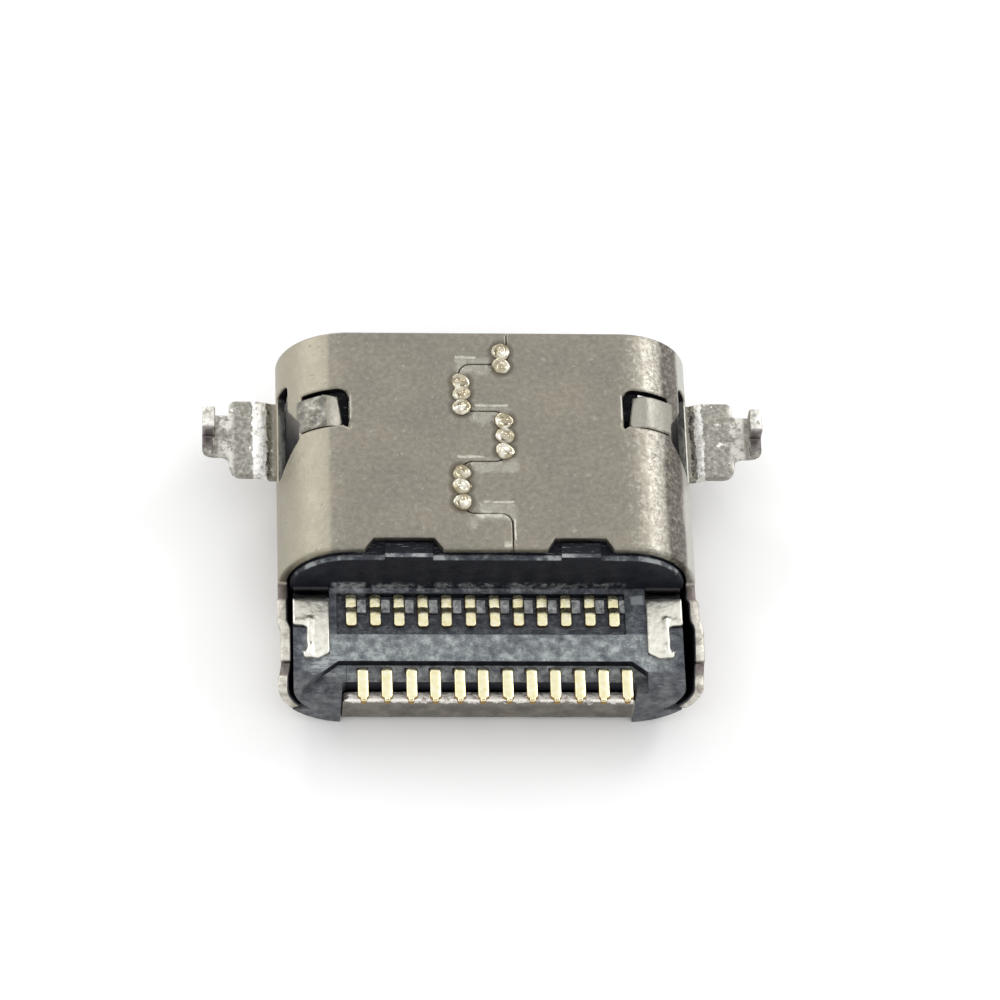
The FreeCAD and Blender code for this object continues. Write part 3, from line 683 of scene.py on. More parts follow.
def make_shell(metal, inside, cut):
    """The folded sheet with its windows, leaves, ears and lip."""
    holes = windows(1) + windows(-1)
    body = solid_sheet(
        "shell_body", shell_outline(), holes, place_on_shell, sheet_spacing, sheet_edge, 3,
        gentle_relief)
    dress(body, metal, inside, cut)
    ears = [make_ear(side) for side in (-1, 1)]
    for ear in ears:
        dress(ear, metal, metal)
    shell = joined("shell_sheet", [body] + ears)
    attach(shell, "root")
    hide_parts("shell")
    return shell


def make_contact(name, node, x, shift, corners, outline, seed):
    """One contact: a folded strip with a sideways jog in the tongue's root."""
    strip = Strip(corners)
    random = np.random.default_rng(seed)
    sway = random.uniform(-contact_sway, contact_sway)
    jog_end = base_front - 0.04
    jog_start = jog_end - contact_jog

    def place(across, along, out):
        depth, height = strip.at(along, out)
        share = np.clip((depth - jog_start) / (jog_end - jog_start), 0.0, 1.0)
        behind = np.clip((depth - ledge_end) / 0.8, 0.0, 1.0)
        return x + shift * share + sway * behind + across, depth, height

    def relief(across, along):
        return -contact_crown * (across / contact_width * 2) ** 2

    made = solid_sheet(
        name, outline(strip.total, random), [], place, strip_spacing, contact_edge, seed, relief,
        contact_thickness)
    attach(made, "root")
    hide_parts(node)
    return made


def foot_outline(total, random):
    """Pattern of a contact that ends in a short foot."""
    half = contact_width / 2
    end = total - random.uniform(0.0, 0.03)
    return rounded([(-half, 0.0, 0.04), (half, 0.0, 0.04), (half, end, 0.08), (-half, end, 0.07)])


def tail_outline(total, random):
    """Pattern of a contact that ends in a long tail with the stub of its carrier strip."""
    half = contact_width / 2
    shoulder = total - (nub_end - tail_end)
    slant = random.uniform(-0.02, 0.02)
    left = -nub_width / 2 + slant
    right = nub_width / 2 + slant
    return rounded([
        (-half, 0.0, 0.04), (half, 0.0, 0.04), (half, shoulder - 0.02, 0.05),
        (right, shoulder + 0.02, 0.02), (right, total - random.uniform(0.0, 0.02), 0.03),
        (left, total, 0.03), (left, shoulder + 0.02, 0.02), (-half, shoulder - 0.02, 0.05)])


def make_contacts():
    """Both rows of contacts."""
    first = -(contacts_per_row - 1) * pitch / 2
    made = []
    for index in range(contacts_per_row):
        tip = tongue_tip + (0.50 if index in long_places else 0.72)
        foot_way = [
            (tip, middle + tongue_level), (base_front + 0.24, middle + tongue_level, contact_bend),
            (base_end - 0.07, covered_level, contact_bend), (ledge_end, covered_level, contact_bend),
            (pad_start, pad_level, contact_bend), (pad_end, pad_level - pad_fall, 0.02),
            (foot_front, soldered_level, 0.03), (foot_end, soldered_level - foot_fall)]
        tail_way = [
            (tip, middle - tongue_level), (base_front + 0.18, middle - tongue_level, contact_bend),
            (base_front + 0.36, tail_run_level, contact_bend),
            (tail_rise_start, tail_run_level, contact_bend),
            (tail_rise_end, soldered_level, contact_bend), (nub_end, soldered_level)]
        x = first + index * pitch
        place = "%02d" % (index + 1)
        made.append(make_contact(
            "foot_" + place, "board_contact_" + place, x, -row_shift, foot_way, foot_outline,
            40 + index))
        made.append(make_contact(
            "tail_" + place, "floor_contact_" + place, x, row_shift, tail_way, tail_outline,
            70 + index))
    return made


def make_blade():
    """Part of the stamped plate that lies in the tongue, with its latch notches."""
    half = blade_half_width
    notch = half - latch_notch_depth
    right = [
        (half, tongue_tip + 0.25, 0.1), (half, latch_notch_front, 0.03),
        (notch, latch_notch_front, 0.03), (notch, latch_notch_back, 0.03),
        (half, latch_notch_back + 0.15, 0.03), (half, base_front + 0.20, 0.05)]
    left = [(-corner[0],) + tuple(corner[1:]) for corner in reversed(right)]

    def place(across, along, out):
        return across, along, middle + out

    return solid_sheet(
        "blade", rounded(right + left), [], place, blade_spacing, plate_edge, 21, None, plate_thickness)


def make_wing(side):
    """Solder wing: it dips across the slot behind the base, and its notch has a raised lip."""
    low = middle - wing_dip
    strip = Strip([
        (wing_start, middle), (base_end - 0.04, middle, 0.07), (base_end + 0.04, low, 0.07),
        (base_end + 0.22, low, 0.07), (base_end + 0.30, middle, 0.07), (wing_end, middle)])
    notch_front = strip.along_at(wing_notch_front)
    notch_end = strip.along_at(wing_notch_end)
    outline = rounded([
        (wing_inner, 0.0), (wing_outer, 0.0), (wing_outer, notch_front, 0.05),
        (wing_notch_edge, notch_front + 0.02, 0.08), (wing_notch_edge, notch_end, 0.10),
        (wing_outer - 0.20, notch_end, 0.03), (wing_outer - 0.22, strip.total, 0.05),
        (wing_inner + 0.24, strip.total, 0.10), (wing_inner, strip.total - 0.13, 0.10)])

    def place(across, along, out):
        return (side * across,) + strip.at(along, out)

    def relief(across, along):
        behind = along > notch_front - 0.16
        reach = across - wing_notch_edge
        to_front = np.abs(along - notch_front + 0.07) / 0.09
        to_end = np.abs(along - notch_end - 0.08) / 0.08
        to_edge = np.abs(reach + 0.07) / 0.07
        near_notch = np.clip((reach + 0.20) / 0.12, 0.0, 1.0)
        on_side = np.clip(1 - to_edge ** 2, 0.0, 1.0)
        on_front = np.clip(1 - to_front ** 2, 0.0, 1.0) * near_notch
        on_foot = np.clip(1 - to_end ** 2, 0.0, 1.0) * near_notch
        ends = np.clip(np.abs(along - strip.along_at(wing_lip_break)) / 0.16, 0.3, 1.0)
        return wing_lip * behind * np.maximum(on_side * ends, np.maximum(on_front * 0.5, on_foot))

    return solid_sheet(
        "wing", outline, [], place, strip_spacing, plate_edge, 23, relief, plate_thickness)


def make_plate():
    """The stamped plate: the blade in the tongue and its two wings."""
    plate = joined("stamped_plate", [make_blade(), make_wing(-1), make_wing(1)])
    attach(plate, "root")
    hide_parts("mid_plate")
    return plate


def spot_edge(wobble, angle):
    """Uneven outline of a weld spot, as a share of its radius."""
    edge = 1 + 0.06 * wobble[0] * math.cos(2 * angle + wobble[1] * 3)
    edge += 0.05 * wobble[2] * math.cos(3 * angle + wobble[3] * 3)
    return edge + 0.02 * wobble[4] * math.cos(7 * angle + wobble[5] * 3)


def spot_height(wobble, lean, share, angle):
    """Height of a weld spot above the shell: a dome with a rippled crater and lumps."""
    crater = 0.016 * math.cos(share * 9.0 + wobble[6]) * math.sin(math.pi * share)
    lumps = 0.016 * math.sin(2 * angle + wobble[5] * 3 + share * 5) * share * (1 - share) * 4
    slope = 0.05 * share * (lean[0] * math.cos(angle) + lean[1] * math.sin(angle)) * (1 - share)
    dome = weld_height * 0.80 * (1 - share ** 2.6)
    return min(dome + crater + lumps + slope, weld_height)


def make_weld_spots():
    """Molten spots that close the seam: small rippled domes, each of its own shape."""
    random = np.random.default_rng(11)
    points = []
    faces = []
    rings = 14
    turns = 48
    for x, depth in weld_spots:
        start = len(points)
        wobble = random.uniform(-1.0, 1.0, 8)
        lean = random.uniform(-0.5, 0.5, 2)
        points.append((x, depth, outer_height + weld_height * 0.86))
        for ring in range(1, rings + 1):
            share = ring / rings
            for step in range(turns):
                angle = 2 * math.pi * step / turns
                radius = weld_radius * share * spot_edge(wobble, angle)
                height = -weld_foot if ring == rings else spot_height(wobble, lean, share, angle)
                points.append((
                    x + radius * math.cos(angle), depth + radius * math.sin(angle),
                    outer_height + height))
        for step in range(turns):
            faces.append((start, start + 1 + step, start + 1 + (step + 1) % turns))
        for ring in range(rings - 1):
            low = start + 1 + ring * turns
            for step in range(turns):
                following = (step + 1) % turns
                faces.append((low + step, low + turns + step, low + turns + following, low + following))
        faces.append(tuple(start + 1 + (rings - 1) * turns + step for step in range(turns)))
    spots = new_object("weld_spots", metres(np.array(points).T), faces)
    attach(spots, "root")
    return spots


class Value:
    """A number that varies over a surface, from one of the nodes of a finish."""

    def __init__(self, finish, socket):
        self.finish = finish
        self.socket = socket

    def __mul__(self, other):
        return self.finish.maths("MULTIPLY", self, other)

    def __add__(self, other):
        return self.finish.maths("ADD", self, other)

    def __sub__(self, other):
        return self.finish.maths("SUBTRACT", self, other)

    def __or__(self, other):
        """The greater of two."""
        return self.finish.maths("MAXIMUM", self, other)

    def spread(self, low, high, to_low=0.0, to_high=1.0, soft=False):
        """The value brought from one range to another."""
        node = self.finish.make("ShaderNodeMapRange")
        if soft:
            node.interpolation_type = "SMOOTHSTEP"
        limits = {"From Min": low, "From Max": high, "To Min": to_low, "To Max": to_high}
        for name, number in limits.items():
            node.inputs[name].default_value = number
        self.finish.put(self, node.inputs["Value"])
        return Value(self.finish, node.outputs["Result"])

    def rise(self, low, high, top=1.0):
        """Soft step up from zero."""
        return self.spread(low, high, 0.0, top, True)

    def fall(self, low, high, top=1.0):
        """Soft step down to zero."""
        return self.spread(low, high, top, 0.0, True)

    def between(self, low, high, soft):
        """One between two limits and zero outside them, with soft edges."""
        return self.rise(low - soft, low + soft) * self.fall(high - soft, high + soft)


def together(masks):
    """The greatest of several masks."""
    result = masks[0]
    for mask in masks[1:]:
        result = result | mask
    return result


class Finish:
    """A material in the making, with its shader, its colour and places on the object in millimetres."""

    def __init__(self, name, metallic=True):
        self.material = bpy.data.materials.new(name)
        self.material.use_nodes = True
        self.tree = self.material.node_tree
        self.shader = self.tree.nodes["Principled BSDF"]
        if metallic:
            self.shader.inputs["Metallic"].default_value = 1.0
        source = self.make("ShaderNodeTexCoord")
        scaled = self.make("ShaderNodeVectorMath")
        scaled.operation = "SCALE"
        scaled.inputs["Scale"].default_value = 1 / MM
        self.put(source.outputs["Object"], scaled.inputs[0])
        self.places = scaled.outputs[0]
        axes = self.make("ShaderNodeSeparateXYZ")
        self.put(self.places, axes.inputs[0])
        self.x, y, self.z = [Value(self, socket) for socket in axes.outputs]
        self.size_across = self.maths("ABSOLUTE", self.x)
        self.depth = self.maths("SUBTRACT", mouth_y, y)

    def make(self, kind):
        return self.tree.nodes.new(kind)

    def put(self, value, socket):
        """Joins a value from another node to a socket, or sets a plain one."""
        if isinstance(value, (int, float, tuple)):
            socket.default_value = value
        else:
            self.tree.links.new(value.socket if isinstance(value, Value) else value, socket)

    def maths(self, operation, first, second=0.0):
        node = self.make("ShaderNodeMath")
        node.operation = operation
        self.put(first, node.inputs[0])
        self.put(second, node.inputs[1])
        return Value(self, node.outputs[0])

    def noise(self, scale, detail=3.0, roughness=0.5, shift=0.0, stretch=None, turn=0.0):
        """Noise at a number of cells to the millimetre, moved, drawn out and turned where asked."""
        texture = self.make("ShaderNodeTexNoise")
        texture.inputs["Scale"].default_value = scale
        texture.inputs["Detail"].default_value = detail
        texture.inputs["Roughness"].default_value = roughness
        source = self.places
        if stretch is not None or shift:
            mapping = self.make("ShaderNodeMapping")
            mapping.inputs["Scale"].default_value = stretch or (1.0, 1.0, 1.0)
            mapping.inputs["Rotation"].default_value = (0.0, 0.0, math.radians(turn))
            mapping.inputs["Location"].default_value = (shift, shift, shift)
            self.put(self.places, mapping.inputs["Vector"])
            source = mapping.outputs["Vector"]
        self.put(source, texture.inputs["Vector"])
        return Value(self, texture.outputs["Fac"])

    def patch(self, left, right, front, back, soft=0.03, ragged=0.0):
        """One on a rectangle seen from above, zero outside it, with a soft or ragged edge."""
        across = self.x
        depth = self.depth
        if ragged:
            wave = (self.noise(5.0, 4.0, 0.6) - 0.5) * ragged
            across = across + wave
            depth = depth + wave
        return across.between(left, right, soft) * depth.between(front, back, soft)

    def patches(self, *places):
        """Several rectangles as one mask."""
        return together([self.patch(*place) for place in places])

    def ramp(self, value, *stops):
        """Colour between stops, each as its place, red, green and blue."""
        node = self.make("ShaderNodeValToRGB")
        elements = node.color_ramp.elements
        while len(elements) < len(stops):
            elements.new(0.5)
        for element, (place, *colour) in zip(elements, stops):
            element.position = place
            element.color = (*colour, 1.0)
        self.put(value, node.inputs["Fac"])
        return node.outputs["Color"]

    def grain(self, cells, *stops):
        """Colour of a noise, by its stops."""
        return self.ramp(self.noise(*cells), *stops)

    def blend(self, share, first, second, how="MIX"):
        """One colour laid over another by a share."""
        node = self.make("ShaderNodeMix")
        node.data_type = "RGBA"
        node.blend_type = how
        self.put(share, node.inputs[0])
        for value, socket in ((first, node.inputs[6]), (second, node.inputs[7])):
            self.put((*value, 1.0) if isinstance(value, tuple) else value, socket)
        return node.outputs[2]

    def lay(self, mask, colour, share=None):
        """Lays a colour over what the surface has so far."""
        if share is not None:
            mask = mask * share
        self.colour = self.blend(mask, self.colour, colour)

    def bump(self, height, depth, before=None):
        """Normal for a height that stands for a depth in millimetres."""
        node = self.make("ShaderNodeBump")
        node.inputs["Distance"].default_value = depth * MM
        self.put(height, node.inputs["Height"])
        if before is not None:
            self.put(before, node.inputs["Normal"])
        return node.outputs["Normal"]

    def soft_edges(self, radius):
        """Normal that rounds a solid's edges by a radius in millimetres."""
        node = self.make("ShaderNodeBevel")
        node.samples = 4
        node.inputs["Radius"].default_value = radius * MM
        return node.outputs["Normal"]

    def upward(self, low, high, normal=None):
        """One where the surface faces up, zero where it is steep."""
        if normal is None:
            normal = self.make("ShaderNodeNewGeometry").outputs["Normal"]
        facing = self.make("ShaderNodeSeparateXYZ")
        self.put(normal, facing.inputs[0])
        return Value(self, facing.outputs[2]).rise(low, high)

    def done(self, unevenness, smoothest, roughest, normal):
        """The material, with a roughness that varies between two values."""
        rough = unevenness.spread(0.3, 0.7, smoothest, roughest)
        for value, name in ((self.colour, "Base Color"), (rough, "Roughness"), (normal, "Normal")):
            self.put(value, self.shader.inputs[name])
        return self.material


def seam_marks(finish):
    """Press marks and ridges beside the seam, as two masks on the top of the shell."""
    on_top = finish.z.spread(2.9, 2.95)
    uneven = finish.noise(5.0, 4.0, 0.7, 71.0).spread(0.36, 0.60, 0.35, 1.0, True)
    pressed = finish.patches(
        (-0.60, 0.10, 0.64, 1.02, 0.07, 0.34), (-0.33, 0.48, 1.84, 2.20, 0.07, 0.34),
        (-0.30, 0.64, 3.08, 3.40, 0.06, 0.30), (-0.20, 0.56, 4.18, 4.58, 0.07, 0.34),
        (-0.43, -0.28, 4.52, 4.78, 0.07, 0.20))
    ridges = finish.patches(
        (-0.63, -0.20, 0.59, 0.65, 0.02, 0.06), (-0.24, 0.45, 1.77, 1.83, 0.02, 0.06),
        (-0.64, -0.10, 3.02, 3.08, 0.02, 0.06), (-0.10, 0.50, 4.11, 4.17, 0.02, 0.08),
        (0.49, 0.53, 4.55, 5.05, 0.015, 0.03), (0.28, 0.42, 5.08, 5.22, 0.03, 0.04),
        (-0.30, 0.36, 4.36, 4.52, 0.05, 0.30))
    return pressed * uneven * on_top, ridges * uneven * on_top


def weld_shadow(finish):
    """Painted shadow: a dark ring round the foot of each weld spot."""
    masks = []
    for x, depth in weld_spots:
        across = finish.x - x
        along = finish.depth - depth
        square = across * across + along * along
        masks.append(square.fall((weld_radius + 0.01) ** 2, (weld_radius + 0.09) ** 2))
    return together(masks)


def bend_colours(finish):
    """Painted light on the bends: the left bend paler, the right one speckled with painted glints, with a
    brown band of painted reflection and a pale band of painted highlight low on it.
    """
    on_tube = finish.size_across.fall(4.38, 4.42)
    # Painted light: the left bend paler, where the left light falls on it.
    finish.lay(finish.x.fall(-3.38, -3.26) * on_tube, (0.41, 0.378, 0.296), 0.75)
    # Grain of the right bend, its brightest specks painted glints.
    right_grain_and_glints = finish.grain(
        (11.0, 5.0, 0.75, 4.0), (0.34, 0.20, 0.19, 0.16), (0.48, 0.38, 0.355, 0.30),
        (0.64, 0.62, 0.60, 0.54))
    finish.lay(finish.x.rise(3.28, 3.42) * on_tube, right_grain_and_glints, 0.75)
    upper = finish.z.rise(middle, middle + 0.2)
    swaying = finish.x + finish.noise(1.2, 3.0, 0.5).spread(0.3, 0.7, -0.05, 0.05)
    # Brown band of painted reflection on the upper right bend.
    brown_reflection = finish.grain(
        (11.0, 5.0, 0.75, 14.0), (0.36, 0.05, 0.042, 0.04), (0.50, 0.115, 0.10, 0.085),
        (0.66, 0.32, 0.295, 0.25))
    finish.lay(upper * swaying.between(3.74, 4.14, 0.06), brown_reflection, 0.85)
    # Pale band of painted highlight near the right side line.
    finish.lay(upper * finish.x.between(4.16, 4.41, 0.04), (0.60, 0.595, 0.55), 0.8)
    # Painted glints where the right bend starts.
    spots = finish.noise(8.0, 4.0, 0.7, 17.0).rise(0.50, 0.64, 0.6)
    finish.lay(finish.x.between(2.85, 3.34, 0.10) * spots, (0.46, 0.44, 0.385))


def leaf_colours(finish):
    """Painted shade makes the left leaf dark and speckled, with a paler tip where light falls on its curl;
    painted light makes the right leaf smooth and paler; painted highlights line the windows' rims.
    """
    outer_side = finish.z.spread(middle + 0.62, middle + 0.70)
    shaded_speckle = finish.grain(
        (6.0, 5.0, 0.7, 31.0), (0.34, 0.085, 0.085, 0.075), (0.5, 0.19, 0.185, 0.165),
        (0.66, 0.44, 0.42, 0.37))
    # Painted shade: the left leaf dark and speckled.
    finish.lay(outer_side * finish.patch(-3.98, -3.36, 1.49, 2.26), shaded_speckle, 0.9)
    # Painted light on the left leaf's curled tip.
    finish.lay(outer_side * finish.patch(-3.34, -3.02, 1.49, 2.22), (0.36, 0.34, 0.30), 0.6)
    # Painted light: the right leaf a plain, paler grey.
    finish.lay(outer_side * finish.patch(3.05, 3.98, 1.49, 2.22), (0.36, 0.348, 0.305), 0.9)
    # Painted highlights along the windows' rims.
    rims = finish.patches(
        (-2.88, -2.84, 1.55, 2.12, 0.03, 0.10), (2.84, 2.88, 1.55, 2.12, 0.03, 0.10),
        (-3.10, -2.90, 2.29, 2.33, 0.03, 0.10))
    finish.lay(rims * outer_side, (0.78, 0.76, 0.70), 0.35)


def ear_colours(finish):
    """Speckled ears with painted glints, painted highlights on the folds, painted shade in the crease, and
    pale prongs. Gives the folds' mask.
    """
    ears = finish.size_across.rise(4.42, 4.46)
    finish.lay(ears, finish.grain(
        (11.0, 5.0, 0.75, 2.0), (0.34, 0.20, 0.19, 0.165), (0.5, 0.31, 0.298, 0.262),
        (0.66, 0.50, 0.485, 0.44)))
    # Painted glints scattered over the ears.
    finish.lay(ears * finish.noise(4.5, 5.0, 0.75, 41.0).rise(0.60, 0.66, 0.9), (0.95, 0.94, 0.90))
    mottle = finish.noise(4.0, 4.0, 0.7, 3.0).rise(0.42, 0.56, 0.8)
    finish.lay(finish.size_across.between(5.30, 5.62, 0.05) * mottle, (0.78, 0.76, 0.70))
    # Painted highlights along the folds, and painted shade in the crease beside them.
    wandering = finish.x + finish.noise(4.5, 4.0, 0.65).spread(0.3, 0.7, -0.05, 0.05)
    left_fold_highlight = wandering.between(-4.90, -4.58, 0.02)
    right_fold_highlight = wandering.between(4.56, 4.74, 0.02)
    fold_highlight_colour = finish.grain(
        (6.0, 5.0, 0.75, 6.0), (0.36, 0.42, 0.40, 0.35), (0.44, 0.80, 0.78, 0.72),
        (0.52, 1.0, 0.99, 0.96))
    finish.lay(left_fold_highlight, fold_highlight_colour)
    finish.lay(right_fold_highlight, fold_highlight_colour, 0.8)
    crease_shade = wandering.between(-4.575, -4.545, 0.01) | wandering.between(4.46, 4.52, 0.01)
    finish.lay(crease_shade * finish.noise(7.0, 4.0, 0.7, 51.0).rise(0.46, 0.54, 0.9), (0.05, 0.045, 0.04))
    tip = finish.size_across.spread(5.70, 5.74)
    prong_grain = finish.grain(
        (7.0, 5.0, 0.75, 61.0), (0.36, 0.30, 0.29, 0.26), (0.47, 0.70, 0.68, 0.62),
        (0.60, 0.95, 0.94, 0.90))
    finish.lay(tip * finish.z.rise(board_plane + 0.20, board_plane + 0.30), prong_grain, 0.85)
    finish.lay(tip * finish.depth.between(1.80, 2.12, 0.05), (0.13, 0.105, 0.11), 0.75)
    return left_fold_highlight | right_fold_highlight


def rear_colours(finish):
    """Pale flaps with brown bands of painted reflection, and a lip whose wall painted reflection makes
    brown, with a painted highlight along its edge. Gives the edge's mask.
    """
    flaps = finish.depth.spread(5.26, 5.30) * finish.size_across.spread(4.05, 4.15)
    finish.lay(flaps, finish.grain(
        (5.0, 5.0, 0.7, 7.0), (0.34, 0.30, 0.27, 0.24), (0.5, 0.62, 0.59, 0.52),
        (0.66, 0.80, 0.78, 0.72)), 0.85)
    # Brown bands of painted reflection across the flaps.
    reflection_bands = finish.depth.between(7.08, 7.38, 0.03) | finish.depth.between(5.20, 5.66, 0.05)
    finish.lay(flaps * reflection_bands, (0.13, 0.105, 0.10), 0.85)
    on_lip = finish.size_across.spread(3.02, 3.06, 1.0, 0.0)
    # Painted reflection: the lip's rear wall brown-grey, most of all low down.
    lip_reflection = finish.depth.spread(7.60, 7.66) * on_lip * finish.z.spread(0.70, 0.86, 1.0, 0.25, True)
    finish.lay(lip_reflection, finish.grain(
        (2.4, 5.0, 0.65, 33.0), (0.36, 0.11, 0.095, 0.09), (0.5, 0.17, 0.155, 0.14),
        (0.64, 0.26, 0.245, 0.215)), 0.8)
    # Painted highlight along the lip's top edge.
    uneven = finish.z + finish.noise(4.0, 4.0, 0.7).spread(0.3, 0.7, -0.10, 0.10)
    lip_edge_highlight = finish.depth.spread(7.45, 7.50) * on_lip * uneven.rise(0.86, 0.92)
    finish.lay(lip_edge_highlight, finish.grain(
        (5.0, 4.0, 0.7), (0.36, 0.45, 0.40, 0.37), (0.46, 0.97, 0.94, 0.88)))
    return lip_edge_highlight


def shell_finish():
    """Dull stamped steel: fine speckle, coarser grain and painted light on the bends, press marks beside
    the seam.
    """
    finish = Finish("shell_metal")
    colour = finish.grain(
        (9.0, 5.0, 0.72), (0.30, 0.225, 0.207, 0.172), (0.5, 0.272, 0.253, 0.212),
        (0.70, 0.335, 0.314, 0.268))
    shade = finish.grain((1.1, 3.0, 0.55), (0.3, 0.92, 0.93, 0.94), (0.7, 1.07, 1.06, 1.03))
    finish.colour = finish.blend(1.0, colour, shade, "MULTIPLY")
    bend_colours(finish)
    leaf_colours(finish)
    folds = ear_colours(finish)

    finish.lay(finish.noise(6.0, 5.0, 0.7, 9.0).rise(0.60, 0.68, 0.55), (0.46, 0.44, 0.38))
    finish.lay(finish.noise(7.0, 5.0, 0.7, 21.0).fall(0.30, 0.37, 0.6), (0.12, 0.11, 0.10))
    # Painted shadow round the feet of the weld spots.
    finish.lay(weld_shadow(finish) * finish.z.spread(2.9, 2.95), (0.10, 0.085, 0.06), 0.6)
    pressed, ridges = seam_marks(finish)
    finish.lay(pressed, (0.44, 0.425, 0.37), 0.65)
    # Painted highlight along the ridges beside the seam.
    finish.lay(ridges, (0.72, 0.70, 0.62), 0.7)
    lip_edge_highlight = rear_colours(finish)

    bends = finish.size_across.rise(3.0, 3.5)
    normal = finish.bump(finish.noise(8.0, 4.0, 0.65) * finish.maths("ADD", 0.35, bends * 0.65), 0.016)
    normal = finish.bump(pressed * -1.0 + ridges * 1.2, 0.012, normal)
    normal = finish.bump((folds | lip_edge_highlight) * finish.noise(5.0, 4.0, 0.6), 0.04, normal)
    return finish.done(finish.noise(3.0, 3.0), 0.36, 0.48, normal)


def inner_finish():
    """Inside of the shell, smooth, with painted shade making it dark away from the mouth."""
    finish = Finish("shell_inside")
    # Painted shade: dark all over the inside, with painted light making it paler near the mouth.
    finish.colour = finish.grain((3.0, 4.0, 0.6), (0.3, 0.045, 0.045, 0.055), (0.7, 0.085, 0.083, 0.09))
    finish.lay(finish.depth.fall(0.2, 1.6), (0.34, 0.325, 0.29))
    return finish.done(finish.noise(5.0), 0.34, 0.46, finish.bump(finish.noise(10.0, 4.0), 0.004))


def cut_finish():
    """Walls of the windows, dark with painted shade, and paler with painted light on the lower sills."""
    finish = Finish("shell_cut")
    finish.colour = finish.grain((6.0, 4.0, 0.6), (0.3, 0.018, 0.014, 0.022), (0.7, 0.05, 0.04, 0.05))
    # Painted light on the lower sills, which face up.
    lit_sill = finish.grain(
        (7.0, 4.0, 0.7, 0.0, (1.0, 0.3, 1.0)), (0.4, 0.06, 0.06, 0.06), (0.6, 0.20, 0.20, 0.18))
    above = finish.z.spread(middle + 0.18, middle + 0.26, 1.0, 0.0)
    finish.colour = finish.blend(above, finish.colour, lit_sill)
    return finish.done(finish.noise(5.0), 0.45, 0.6, finish.bump(finish.noise(8.0, 4.0), 0.01))


def weld_finish():
    """Molten metal: mottled and bright, with painted shade darkening its foot where it runs into the sheet.
    """
    finish = Finish("weld_metal")
    finish.colour = finish.grain(
        (5.0, 3.0, 0.55), (0.36, 0.34, 0.29, 0.19), (0.50, 0.52, 0.47, 0.35), (0.66, 0.85, 0.82, 0.71))
    # Painted shade at the foot of each spot.
    finish.lay(finish.z.fall(outer_height + 0.006, outer_height + 0.040, 0.92), (0.07, 0.055, 0.035))
    return finish.done(finish.noise(6.0), 0.14, 0.26, finish.bump(finish.noise(6.0, 2.0), 0.022))


def plate_finish():
    """Bright stamped plate with a fine speckle, and painted shade making it near black in the slot behind
    the base.
    """
    finish = Finish("plate_metal")
    finish.colour = finish.grain(
        (9.0, 5.0, 0.7), (0.28, 0.60, 0.575, 0.50), (0.45, 0.82, 0.80, 0.71), (0.7, 0.97, 0.955, 0.88))
    edge = finish.noise(4.0, 4.0).spread(0.3, 0.7, -0.03, 0.03)
    # Painted shade: near black as far back as the slot behind the base.
    finish.lay((finish.depth + edge).fall(5.60, 5.66, 0.97), (0.012, 0.010, 0.014))
    return finish.done(finish.noise(4.0), 0.30, 0.42, finish.bump(finish.noise(8.0, 4.0), 0.012))


def gold_finish():
    """Thin gold plating, with painted light making it palest on top, and painted shade and reflection
    making its edges dark amber.
    """
    finish = Finish("contact_gold_metal")
    pale = finish.grain(
        (7.0, 4.0, 0.6), (0.30, 0.86, 0.77, 0.44), (0.5, 0.94, 0.88, 0.58), (0.7, 1.0, 0.97, 0.80))
    along_row = finish.noise(1.3, 2.0, 0.5, 3.0, (1.0, 0.2, 0.2)).spread(0.35, 0.65, 0.0, 0.35)
    tails = finish.depth.spread(6.9, 7.0)
    pale = finish.blend(along_row * tails, pale, (0.80, 0.76, 0.50))
    # Painted light and shade: pale where the contacts face up, dark amber on their sides.
    finish.colour = finish.blend(finish.upward(0.55, 0.93), (0.30, 0.17, 0.035), pale)
    return finish.done(finish.noise(6.0), 0.22, 0.34, finish.bump(finish.noise(7.0, 3.0), 0.006))


